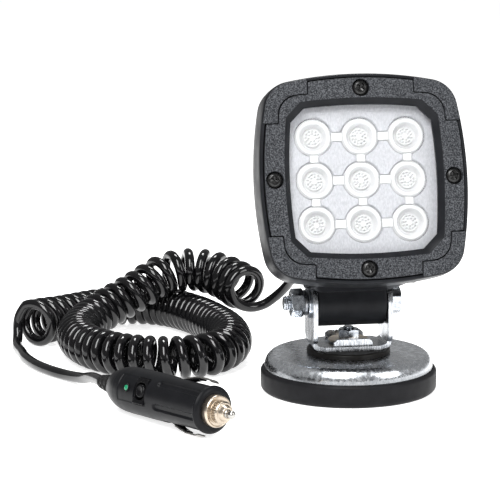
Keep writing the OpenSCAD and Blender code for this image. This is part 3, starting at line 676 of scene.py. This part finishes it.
def make_base():
    fit(lathe("boot", [
        (0, 0), (BOOT_R - 1.6, 0, 0.8), (BOOT_R, 1.5, 1.2), (BOOT_R, BOOT_H - 1.2, 1.0),
        (BOOT_R - 1.1, BOOT_H, 0.5), (BOOT_IN_R, BOOT_H, 0.2), (BOOT_IN_R, BOOT_FLOOR), (0, BOOT_FLOOR)],
        ORIGIN, 160), "base", "rubber_boot")
    shoulder = arc(CUP_FLAT_R, SHOULDER_Z, CUP_R - CUP_FLAT_R, CUP_TOP - SHOULDER_Z, range(0, 91, 9))
    cup_in = CUP_R - CUP_WALL
    fit(lathe("cup", [
        (CUP_BORE_R, CUP_CEILING), (35.9, CUP_CEILING), (cup_in, BOOT_H), (cup_in, BOOT_FLOOR),
        (CUP_R, BOOT_FLOOR), *shoulder, (CUP_BORE_R, CUP_TOP)], ORIGIN, 192), "base", "magnet_cup")
    fit(lathe("pad", [
        (3.2, 0), (PAD_R - 0.3, 0, 0.3), (PAD_R, 0.4, 0.3), (PAD_R, PAD_T - 0.7, 0.6),
        (PAD_R - 0.8, PAD_T, 0.4), (3.2, PAD_T)], move(0, 0, CUP_TOP), 128), "base", "swivel_pad")
    fit(lathe("washer_top", [
        (3.3, 0), (WASHER_R - 0.6, 0, 0.3), (WASHER_R, 0.5, 0.4), (WASHER_R - 0.4, 1.2, 0.5), (3.3, 1.2)],
        move(0, 0, WASHER_Z - 1.2)), "base", "clamp_washer")
    fit(lathe("washer_under", [(3.3, 0), (9.3, 0, 0.2), (9.5, 0.5, 0.2), (9.3, 0.78), (3.3, 0.78)],
              move(0, 0, PLATE_Z)), "base", slot="spring_steel")
    nut = hex_nut("nut_top", M6_FLATS, 5, M6_R + 0.05, 20, move(0, 0, WASHER_Z))
    fit(nut, "base", "clamp_nut")
    thread_z = 24
    fit(lathe("stud_thread", [
        (0, 5), (M6_R, 5), (M6_R, thread_z), (M6_R, STUD_TOP - 0.5), (M6_R - 0.6, STUD_TOP), (0, STUD_TOP)],
        ORIGIN, 48, threaded(M6_R, M6_PITCH, thread_z, STUD_TOP + 1), step=0.2), "base", "centre_stud")


# --- bracket ---

def make_bracket():
    mid_x, mid_z = ARM_GAP / 2 + STRIP_T / 2, PAD_Z + STRIP_T / 2
    arm = arc(mid_x, PIVOT_Z, 0, STRIP_W / 2, range(88, 0, -4))
    arm += [(mid_x, z) for z in np.linspace(PIVOT_Z, mid_z + BEND_R, 16)]
    arm += arc(mid_x - BEND_R, mid_z + BEND_R, BEND_R, -BEND_R, range(15, 91, 15))
    arm += [(x, mid_z) for x in np.linspace(mid_x - BEND_R, 0, 14)[1:]]
    path = arm + [(-x, z) for x, z in arm[-2::-1]]

    def half_width(i):
        x, z = path[i]
        if z > PIVOT_Z:
            return sqrt((STRIP_W / 2) ** 2 - (z - PIVOT_Z) ** 2)
        if z > mid_z + BEND_R:
            return STRIP_W / 2 - 3 * ease(PLATE_Z + 3.4, mid_z + BEND_R, z)
        return STRIP_W / 2 - 3 * ease(mid_x - 2 * BEND_R, mid_x - BEND_R, abs(x))

    fit(ribbon("bracket_strip", path, half_width, STRIP_T, ORIGIN), "bracket", "u_bracket")
    lip_x, bend = STRIP_W / 2 - LIP_T / 2, LIP_BEND_R
    rise = [(8.5, mid_z), *arc(lip_x - bend, mid_z + bend, bend, bend, range(-90, 1, 15))]
    rise += [(lip_x, z) for z in np.linspace(mid_z + 2.2, PLATE_Z + 4, 8)]
    for side, angle in (("front", -90), ("back", 90)):
        fit(ribbon("bracket_lip_" + side, rise, lambda i: LIP_HALF - 1.6 * ease(11, 14.5, i), LIP_T,
                   turn(angle, "Z"), 0.35), "bracket", slot="bracket_zinc")
    flats = hexed(M8_FLATS, 6, ARM_OUT - 0.01)
    screw = threaded(M8_R, M8_PITCH, -ARM_OUT - 20, -ARM_OUT - 9.5)

    def bolt_shape(r, a, z):
        r, z = screw(r, a, z)
        return flats(r, a, z)

    fit(lathe("bolt", [
        (0, -ARM_OUT - 13.4), (3.1, -ARM_OUT - 13.4), (M8_R, -ARM_OUT - 12.5), (M8_R, -ARM_OUT - 9),
        (M8_R, ARM_OUT), (7.4, ARM_OUT), (7.8, ARM_OUT + 0.4), (7.8, ARM_OUT + 5.2), (6.4, ARM_OUT + 6),
        (5.4, ARM_OUT + 6), (5.2, ARM_OUT + 5.85), (0, ARM_OUT + 5.85)], BOLT, 144, bolt_shape, step=0.3),
        "bracket", "pivot_bolt")
    flat_t, gap_t = 1.2, 3.2  # the flat washer, and both washers with the spring washer's rise
    out = move(-ARM_OUT, 0, PIVOT_Z) @ turn(-90, "Y")
    fit(hex_nut("nut_side", M8_FLATS, 6.6, M8_R + 0.05, 12, out @ move(0, 0, gap_t)),
        "bracket", "pivot_nut")
    fit(lathe("washer_split", [(4.1, 0), (6.6, 0, 0.2), (6.6, 1.4, 0.2), (4.1, 1.4)],
              out @ move(0, 0, flat_t), 96,
              lambda r, a, z: (r, z + 0.6 * a / (2 * pi)), span=(0.1, 2 * pi - 0.1)),
        "bracket", "lock_washer")
    fit(lathe("washer_flat", [(4.2, 0), (8, 0, 0.2), (8, flat_t, 0.3), (4.2, flat_t)], out),
        "bracket", "flat_washer")


# --- outlines on the face ---

def side_at(half, x, side_r=SIDE_R):
    """How far out a bulged side is at x from its middle."""
    return sqrt(side_r ** 2 - x * x) - (side_r - half)


def bulged(half, corner, side_r=SIDE_R, steps=10):
    """Closed outline with bulged sides and round corners, clockwise from the top side's left end."""
    d, k = side_r - half, side_r - corner
    c = (sqrt(2 * k * k - d * d) - d) / 2
    lean = atan2(c, c + d)
    side = [lean * (i / steps - 1) for i in range(2 * steps + 1)]
    bend = [lean + (pi / 2 - 2 * lean) * i / (steps + 1) for i in range(1, steps + 1)]
    quarter = [(side_r * sin(a), side_r * cos(a) - d) for a in side]
    quarter += [(c + corner * sin(a), c + corner * cos(a)) for a in bend]
    return [spun_by(p, q) for q in range(4) for p in quarter]


def spun_by(point, quarters):
    """A point turned clockwise by some quarter turns."""
    x, y = point[:2]
    for _ in range(quarters):
        x, y = y, -x
    return (x, y, *point[2:])


def grown(shrink):
    """The head's outline, some millimetres inside its widest one."""
    return bulged(HEAD_HALF - shrink, CORNER_R - shrink, SIDE_R - shrink)


def cut_square(half):
    """The window's outline, with bulged sides and cut corners."""
    k = half / WINDOW
    shares = [i / 6 for i in range(-6, 7)]
    quarter = [(WINDOW_FLAT * k * t, half - (half - WINDOW_SIDE * k) * t ** 2) for t in shares]
    return [spun_by(p, q) for q in range(4) for p in quarter]


def corner_run(half, corner, side_r, first, second):
    """The stretch of a bulged outline round its upper right corner, from x = first to y = second."""
    run = [p for p in bulged(half, corner, side_r) if p[0] > first + 0.5 and p[1] > second + 0.5]
    return [(first, side_at(half, first, side_r)), *run, (side_at(half, second, side_r), second)]


PAD_ENDS = (26.5, 27.5)  # how far from the middle the corner pads' two arms end
PAD_INNER = (42.6, 10, 400)  # half width, corner and side radius of the pads' inner edge
PAD_SHRINK, PAD_GAP, PAD_ROUND = 1.2, 0.5, 0.6


def quarter_ends(quarter):
    return PAD_ENDS if quarter % 2 == 0 else PAD_ENDS[::-1]


def ends_rounded(run):
    """A run of points whose two ends are rounded corners."""
    return [(*run[0], PAD_ROUND), *run[1:-1], (*run[-1], PAD_ROUND)]


def bezel_outline():
    half, points = BEZEL_HALF, []
    for q in range(4):
        first, second = (end - PAD_GAP for end in quarter_ends(q))
        notch = corner_run(PAD_INNER[0] - PAD_GAP, *PAD_INNER[1:], first, second)
        start = [(x, side_at(half, x)) for x in np.linspace(0, first, 6)[:-1]]
        end = [(side_at(half, y), y) for y in np.linspace(second, 0, 6)[1:-1]]
        corners = [(first, side_at(half, first), PAD_ROUND), *ends_rounded(notch),
                   (side_at(half, second), second, PAD_ROUND)]
        points += [spun_by(p, q) for p in start + corners + end]
    return rounded(points, closed=True, steps=3)


def pad_outline(quarter):
    first, second = quarter_ends(quarter)
    outer = corner_run(HEAD_HALF - PAD_SHRINK, CORNER_R - PAD_SHRINK, SIDE_R - PAD_SHRINK, first, second)
    inner = corner_run(*PAD_INNER, first, second)[::-1]
    points = ends_rounded(outer) + ends_rounded(inner)
    return rounded([spun_by(p, quarter) for p in points], closed=True, steps=3)


def at_depth(outline, depth):
    return [(x, y, -depth) for x, y in outline]


def sunk(depth):
    return FACE @ move(0, 0, -depth)


lamp_places = [(i * PITCH_X, j * PITCH_Z) for i in (-1, 0, 1) for j in (-1, 0, 1)]


# --- head ---

def make_face():
    on_ring = circle(SCREW_RING, count=4)
    holes = [circle(4.3, p) for p in on_ring]
    fit(plate("bezel", [bezel_outline(), cut_square(BEZEL_HOLE - 0.05), *holes], BEZEL_T, FACE, 0.15),
        "head", "front_bezel")
    slope = [at_depth(cut_square(half), depth) for half, depth in (
        (BEZEL_HOLE + 0.1, 0.2), (BEZEL_HOLE - 0.2, 0.12), (BEZEL_HOLE - 0.5, 0.3), (WINDOW, 3.2),
        (WINDOW, 3.6), (WINDOW, BEZEL_T), (BEZEL_HOLE + 0.1, BEZEL_T))]
    fit(loft("bezel_slope", slope, FACE, closed=True), "head", slot="moulded_plastic")
    for q, (x, y) in enumerate(on_ring):
        fit(plate(f"corner_pad_{q + 1}", [pad_outline(q)], BEZEL_T, FACE), "head", slot="grained_plastic")
        place = FACE @ move(x, y, -0.5) @ turn(20 + 33 * q, "Z")
        screw = pan_screw(f"bezel_screw_{q + 1}", place, 4.2, 2.5, 1.95, 14, 2.3)
        fit(screw, "head", None if q else "bezel_screws", "black_screws")
    fit(plate("lens", [cut_square(BEZEL_HOLE)], COVER_T, sunk(BEZEL_T + 0.05)), "head", "lens_cover")
    rim = [at_depth(grown(shrink), depth) for shrink, depth in (
        (3.2, BODY_DEPTH), (2.0, 21.4), (1.0, 21), (0.2, 20.2), (0, 19), (0, 12), (0.35, 4), (0.5, 2.2),
        (0.75, 1.4), (1.1, 1.05), (1.6, 1), (2.1, 1.1), (2.4, 1.5), (2.5, 2.2), (2.55, BEZEL_T))]
    seat = WELL_HALF - 1.2
    well = [at_depth(bulged(half, WELL_CORNER), depth) for half, depth in (
        (WELL_HALF, BEZEL_T), (WELL_HALF, OPTICS_S), (seat, OPTICS_S), (seat, WELL_END))]
    opening = [(x, y * 62 / 66) for x, y in bulged(33, 2, 3000)]
    through = [at_depth(opening, WELL_END), at_depth(opening, BODY_DEPTH)]
    fit(loft("housing", rim + well + through, FACE, closed=True), "head", "front_housing")


def lamp_arc(place, radius, first, last, steps=14):
    """Points round a lamp's place, between two angles in degrees."""
    return arc(place[0] * PITCH_X, place[1] * PITCH_Z, radius, radius, np.linspace(first, last, steps + 1))


def raised_outlines(radius, half):
    """The plate's upper layer round its cups of a radius, which channels of a half width join."""
    lean = degrees(asin(half / radius))
    corners = [(-1, -1), (1, -1), (1, 1), (-1, 1)]
    sides = [(0, -1), (1, 0), (0, 1), (-1, 0)]
    around, islands = [], []
    for q in range(4):
        around += lamp_arc(corners[q], radius, 90 * (q + 1) + lean, 90 * (q + 4) - lean, 40)
        around += lamp_arc(sides[q], radius, 90 * (q + 2) + lean, 90 * (q + 4) - lean, 26)
    for i, j in ((-1, -1), (0, -1), (-1, 0), (0, 0)):
        island = []
        for q, (di, dj) in enumerate(((0, 0), (1, 0), (1, 1), (0, 1))):
            island += lamp_arc((i + di, j + dj), radius, 90 * (q + 1) - lean, 90 * q + lean)
        islands.append(island)
    return [around, *islands]


def make_optics():
    rims = [circle(OPTIC_R + 0.25, p) for p in lamp_places]
    fit(plate("reflector_lower", [cut_square(WINDOW + 2), *rims], 0.9, sunk(OPTICS_S + 0.7), 0.1),
        "head", "reflector_plate")
    raised = [cut_square(WINDOW + 2), *raised_outlines(OPTIC_R + 0.75, CHANNEL_HALF)]
    fit(plate("reflector_upper", raised, 0.7, sunk(OPTICS_S), 0.12), "head", slot="silver_plate")
    for k, (x, y) in enumerate(lamp_places):
        place = FACE @ move(x, y, -OPTICS_S - 0.1) @ turn(7 * k, "Z")
        fit(lathe(f"optic_{k + 1}", [
            (0, -2.2), (4.3, -2.2, 0.2), (4.6, -3.6, 0.2), (5.4, -3.4, 0.2), (6.7, -0.4, 0.2), (7, 0, 0.25),
            (8.3, 0.1, 0.3), (8.6, -0.6, 0.2), (OPTIC_R, -0.8, 0.2), (OPTIC_R, -2.2), (6.6, -6), (4.4, -9),
            (0, -9)], place, 96, dimpled, step=0.16),
            "head", None if k else "optic_lenses", "clear_acrylic")
    for k, (x, y) in enumerate(lamp_places):
        if x < PITCH_X:
            optic_bar(f"optic_bar_x{k + 1}", (x + PITCH_X / 2, y), PITCH_X / 2 - OPTIC_R + 0.2, BAR_HALF)
        if y < PITCH_Z:
            optic_bar(f"optic_bar_y{k + 1}", (x, y + PITCH_Z / 2), BAR_HALF, PITCH_Z / 2 - OPTIC_R + 0.2)


def optic_bar(name, middle, half_x, half_y):
    """A clear bar that joins two neighbouring optics."""
    fit(plate(name, [rectangle(half_x, half_y, 0.3, 3)], BAR_T, FACE @ move(*middle, 0.25 - OPTICS_S)),
        "head", slot="clear_acrylic")


def dimpled(r, a, z):
    """Rings of small pits in the middle of an optic."""
    if r > 4.25 or z < -2.3:
        return r, z
    pit = -0.9 * ease(0.9, 0.3, r)
    for ring, count in ((1.9, 7), (3.3, 12)):
        share = (a * count / (2 * pi)) % 1 - 0.5
        near = hypot(r - ring, share * 2 * pi * ring / count)
        pit = max(pit, 1.1 * ease(0.6, 0.3, near))
    return r, z - pit


# --- back of the head ---

def softened(name, node, voxel, rounds):
    """The CAD node's shape with its edges rounded, as on a casting."""
    obj = dressed(name, nodes[node].data.copy(), ORIGIN)
    remesh = obj.modifiers.new("cast", "REMESH")
    remesh.mode, remesh.voxel_size, remesh.use_smooth_shade = "VOXEL", voxel * MM, True
    smooth = obj.modifiers.new("soft", "SMOOTH")
    smooth.factor, smooth.iterations = 0.5, rounds
    return obj


def make_back():
    fit(softened("rear_casting", "rear_housing", 0.6, 5), "head", "rear_housing")
    low, top, half, cut = BOX_TOP + 1 - FACE_Z, SINK_TOP, SINK_HALF, SINK_HALF - SINK_CUT
    foot = [(-half, low, 2), (half, low, 2), (half, top - SINK_CUT, 1.5), (cut, top, 1.5), (-cut, top, 1.5),
            (-half, top - SINK_CUT, 1.5)]
    screw_places = [(side * x, y) for side in (-1, 1) for x, y in ((28, 34), (36, -14))]
    holes = [circle(1.75, p, 32) for p in screw_places]
    # seen from behind: a plate's top is its far side
    fit(plate("heat_sink_base", [rounded(foot, True), *holes], FIN_S - BODY_DEPTH, sunk(BODY_DEPTH), 0.4),
        "head", "heat_sink")
    slug = plate("heat_sink_slug", [rectangle(32.7, 30.7, 1)], 1.4, sunk(20.2), 0.2)
    fit(slug, "head", slot="black_aluminium")
    for k, x in enumerate(np.linspace(-FIN_REACH, FIN_REACH, FINS)):
        height = FIN_SHORT if abs(x) > SHORT_PAST else FIN_TALL
        loops = []
        # half thickness, depth and set-back of the fin's foot, its root and its outer edge
        for t, d, e in ((1.5, FIN_S - 0.3, 0), (1.05, FIN_S + 0.8, 0.2), (0.72, FIN_END, 2.2)):
            z0, z1 = low + 1 + e, height - e
            loops.append([(x - t, z0, -d), (x + t, z0, -d), (x + t, z1, -d), (x - t, z1, -d)])
        fit(bevel(loft(f"fin_{k + 1}", loops, FACE), 0.45, 3), "head", slot="black_aluminium")
    places = [behind(x, FACE_Z + y, FIN_S + 0.6) for x, y in screw_places]
    ears = [behind(side * x, z, BODY_DEPTH + 6.2) for side in (-1, 1) for x, z in ((39.5, 27), (23.5, 9.5))]
    for name, where, node, sizes in (("sink_screw", places, "heat_sink_screws", (2.8, 2.2, 1.4, 7, 1.5)),
                                     ("rear_screw", ears, "rear_screws", (2.9, 2.2, 1.4, 12, 1.5))):
        for k, place in enumerate(where):
            fit(pan_screw(f"{name}_{k + 1}", place, *sizes), "head", None if k else node, "bare_steel")


def make_gland():
    place = behind(GLAND_X, GLAND_Z, BOX_END)
    six_sided = hexed(GLAND_FLATS, 10)
    corner, bore = 8.7, 2.9
    fit(lathe("gland_body", [
        (3.7, -5), (6, -5), (6, 0), (8.2, 0, 0.3), (corner, 0.5, 0.3), (corner, 4.3, 0.4), (7.9, 5, 0.3),
        (6.2, 5), (6.2, 9.5), (3.7, 9.5)], place, 144, six_sided, step=0.4), "head", "cable_gland")
    fit(lathe("gland_cap", [
        (6.3, 5.5), (8.2, 5.5, 0.3), (corner, 6, 0.3), (corner, 10.5, 0.5), (8.3, 11, 0.8), (7.2, 14, 2),
        (4.6, GLAND_REACH, 0.6), (bore, GLAND_REACH, 0.3), (bore, 12.05), (6.3, 12.05)],
        place, 144, six_sided, step=0.4), "head", "gland_nut")
    fit(lathe("vent", [
        (0, -5), (3, -5), (3, 0), (5.5, 0, 0.2), (5.5, 1, 0.4), (4.4, 2, 0.4), (3.2, 2, 0.2), (3, 1.5, 0.2),
        (0, 1.5)], behind(-GLAND_X, GLAND_Z, BOX_END), 96,
        lambda r, a, z: (r - 0.25 * max(0, cos(24 * a)) if r > 5 and z > 0.1 else r, z), step=0.3),
        "head", "vent_plug")


# --- plug ---

plug_pieces = []  # everything that is carried on the cord's far end


def on_plug(obj, node=None, slot=None, body="base"):
    fit(obj, body, node, slot)
    plug_pieces.append(obj)


SHELL = [(5.6, 11.5), (6.4, 12.3), (7.3, 13.5), (8.1, 15), (8.8, 16.5), (9.4, 18), (9.95, 19.6), (10.4, 21.2),
         (10.8, 23.2), (11.1, 26), (11.3, 31), (11.3, 50), (BARREL_R + 0.1, 60), (BARREL_R + 0.1, COLLAR_S)]


def barrel_surface(face):
    """How the barrel's outside is pressed in, on the marked half (face) or on the back one."""
    def shape(r, a, z):
        outside = np.interp(z, [p[1] for p in SHELL], [p[0] for p in SHELL])
        if r < outside - 0.3 or r < 5.9:
            return r, z
        from_mid = (a + pi / 2) if face else (a - pi / 2)
        across = r * sin(from_mid)
        to_seam = r * (pi / 2 - abs(from_mid))
        sink = 0.3 * ease(0.45, 0, to_seam)
        slot = ease(2.95, 2.75, to_seam) * ease(LEAF_S + 3.8, LEAF_S + 4.1, z)
        sink = max(sink, slot * (r - 7.6))
        if face:
            panel = ease(6.5, 6.2, abs(across)) * ease(PANEL_S[0], PANEL_S[0] + 0.4, z)
            sink = max(sink, 0.35 * panel * ease(PANEL_S[1], PANEL_S[1] - 0.4, z))
            opening = ease(6.6, 6.3, abs(across)) * ease(SWITCH_S[0] - 0.2, SWITCH_S[0] + 0.1, z)
            opening *= ease(SWITCH_S[1] + 0.2, SWITCH_S[1] - 0.1, z)
            sink = max(sink, opening * (r - min(r, 7.5 / max(0.3, cos(from_mid)))))
            for side in (-1, 1):
                off = r * (from_mid - side * radians(GROOVE_ANGLE))
                away = hypot(off, min(0, z - GROOVE_S))
                sink = max(sink, 0.95 * ease(1.9, 1.0, away))
        return r - sink, z
    return shape


def make_shell():
    on_plug(lathe("strain_relief", [
        (2.9, 0), (3.3, 0, 0.2), (3.5, 0.4, 0.2), (5.4, 11, 0.3), (5.4, RELIEF_LEN), (4, RELIEF_LEN),
        (4, RELIEF_LEN + 4), (2.9, RELIEF_LEN + 4)], BARREL, 96, relief_slots, step=0.2),
        "plug_strain_relief")
    inside = [(BARREL_R - 2, COLLAR_S), (BARREL_R - 2, 29), (4.1, RELIEF_LEN + 3), (4.1, RELIEF_LEN)]
    for half, face, low in (("face", True, -pi), ("back", False, 0)):
        on_plug(lathe("plug_half_" + half, SHELL + inside, BARREL, 110, barrel_surface(face),
                      span=(low, low + pi), step=0.33), "plug_shell_" + half)
    on_plug(lathe("plug_ring", [
        (7.8, COLLAR_S), (11, COLLAR_S, 0.2), (11.4, COLLAR_S + 0.3, 0.3), (11.4, NOSE_S - 1.4, 0.4),
        (10.2, NOSE_S - 0.3, 0.5), (9, NOSE_S, 0.3), (7.8, NOSE_S)], BARREL, 128), "plug_collar")


def knurl(r, a, z):
    return (r + 0.3 * max(-0.6, cos(30 * a)) if 4 < z < 6.6 and r > 5 else r), z


def make_nose():
    pin_r, bore = 2.05, 2.15
    on_plug(lathe("nose", [
        (bore, -6), (7.7, -6), (7.7, 2.9, 0.5), (7.1, 3.6, 0.4), (6.7, 3.3, 0.2), (5.2, 3.3, 0.2),
        (5.2, 7, 0.2), (4.7, 7.6, 0.2), (3.9, 7.6, 0.2), (3.1, 10, 0.3), (bore, 10)],
        BARREL @ move(0, 0, NOSE_S), 240, knurl, step=0.3), "plug_nose")
    ball = arc(0, TIP_END - BALL_R, BALL_R, BALL_R, range(-35, 84, 7))
    on_plug(lathe("tip", [
        (0, TIP_S), (3.5, TIP_S), (3.5, TIP_S + 2.2), (pin_r, TIP_S + 2.2), (pin_r, TIP_END - 4.6, 0.2),
        (1.7, TIP_END - 4.2, 0.2), *ball, (0, TIP_END)], BARREL, 64), "plug_tip", body="tip")
    make_spring(TIP_S - 7.2, TIP_S - 0.8)


def make_spring(rear, front):
    """The spring behind the tip, a fixed coil of wire; the real one shortens as the tip is pressed in."""
    coils, radius, wire = 4, 2.4, 0.35
    path = []
    for coil in np.linspace(0, coils, 16 * coils + 1):
        along, a = rear + (front - rear) * coil / coils, 2 * pi * coil
        path.append(PLUG @ (Vector((along, radius * cos(a), radius * sin(a))) * MM) / MM)
    spring = tube("spring", np.array(path), wire, 8)
    spring.data.materials.append(materials["spring_steel"])
    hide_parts("tip_spring")
    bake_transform(spring)
    plug_pieces.append(spring)


def make_contacts():
    """The side contacts: a black arm and a ribbed leaf each, by distance past the slot's end and radius."""
    bend = [(0, 6.9), (4.6, 7), (7, 9.3), (13, 10.8), (19, 12.3), (22, 12.8)]
    ribs = [(s, 13.25 + 0.14 * sin(2 * pi * s / 1.2)) for s in np.arange(22, 29, 0.15)]
    strip = [(13, 11.5), (19, 12.8), (21.5, 13.2), *ribs, (29.8, 13), (31, 12.5)]
    for side, flip in (("upper", ORIGIN), ("lower", Matrix.Scale(-1, 4, (0, 0, 1)))):
        body, place = side + "_contact", PLUG @ flip @ move(LEAF_S, 0, 0)
        arm = ribbon(f"contact_{side}_arm", bend, lambda i: 2.3, 1.2, place, 0.3)
        on_plug(arm, slot="switch_black", body=body)
        leaf = ribbon(f"contact_{side}_leaf", strip, lambda i: LEAF_W / 2, 0.6, place, 0.12)
        on_plug(leaf, "contact_" + side, body=body)


def make_switch():
    out = turn(90, "X")
    middle = sum(SWITCH_S) / 2
    on_plug(plate("switch_bezel", [rectangle(4.2, 6.3, 0.6), rectangle(3.7, 4.2, 3.2, 8)], 4.6,
                  PLUG @ move(middle, 0.1 - BARREL_R, 0) @ out), "switch_frame")
    on_plug(lathe("rocker", [(0, 0), (3.1, 0), (3.2, 2), (3.3, 4.4, 0.3), (2.6, 5.2, 0.5), (0, 4.4)],
                  PLUG @ move(middle, -6.2, 0) @ out, 64,
                  lambda r, a, z: (r, z + (0.1 * r * sin(a) if z > 2 else 0)), step=0.3),
        "switch_rocker", body="rocker")
    lamp, lens_r = PLUG @ move(LED_S, 1.9 - BARREL_R, 0) @ out, 1.5
    dome = arc(0, 2.1, lens_r, 0.8, range(15, 90, 15))
    on_plug(lathe("indicator", [(0, 0), (lens_r, 0), (lens_r, 2.1), *dome, (0, 2.9)], lamp, 48),
        "indicator_lens")
    on_plug(lathe("indicator_ring", [
        (1.52, 0.5), (2.1, 0.5), (2.1, 2.2, 0.2), (1.8, 2.6, 0.2), (1.52, 2.5)], lamp, 48),
        slot="switch_black")


def relief_slots(r, a, z):
    """Staggered slots round the strain relief."""
    first, pitch, rows = 0.8, 2.1, 5
    if r < 3.2 or not first < z < first + pitch * rows:
        return r, z
    row = floor((z - first) / pitch)
    ridge = ease(0.5, 0.3, abs((z - first) / pitch - row - 0.5))
    gap = ease(0.1, 0.3, abs(((a / (2 * pi) * 4 + row / 2) % 1) - 0.5) - 0.05)
    return r - 0.75 * ridge * gap, z


for make in (make_base, make_bracket, make_face, make_optics, make_back, make_gland, make_shell, make_nose,
             make_contacts, make_switch):
    make()

plug_pieces += [nodes["plug_fuse"], nodes["plug_board"]]


# --- floor and light ---

def make_stage():
    far = 60_000
    corners = [(-far, -far, 0), (far, -far, 0), (far, far, 0), (-far, far, 0)]
    ground = solid("floor", corners, [[0, 1, 2, 3]], ORIGIN)
    paper = Surface("floor_paper", (0.9, 0.9, 0.9), 0.9, Emission_Color=(1, 1, 1, 1), Emission_Strength=0.76)
    paper.mottled(80, (0.88, 0.88, 0.88))
    ground.data.materials.append(paper.material)


def soft_box(name, place, aim, width, height, watts):
    light = bpy.data.lights.new(name, "AREA")
    light.shape, light.size, light.size_y = "RECTANGLE", width, height
    light.energy = watts
    lamp = added(name, light)
    lamp.location = place
    lamp.rotation_euler = (Vector(aim) - Vector(place)).to_track_quat("-Z", "Y").to_euler()


def make_light():
    world = bpy.data.worlds.new("studio")
    world.use_nodes = True
    background = world.node_tree.nodes["Background"]
    background.inputs["Color"].default_value = (1, 1, 1, 1)
    background.inputs["Strength"].default_value = 0.27
    scene.world = world
    soft_box("key", (-0.35, -0.75, 1.0), (0, 0.05, 0.05), 0.5, 1.0, 23)
    soft_box("fill", (0.9, -0.8, 0.7), (0, 0, 0.05), 0.5, 0.8, 8)
    soft_box("top", (0.1, 0.5, 1.2), (-0.05, 0.1, 0.03), 0.4, 0.25, 9)
    scene.view_settings.view_transform = "Standard"


make_stage()
make_light()
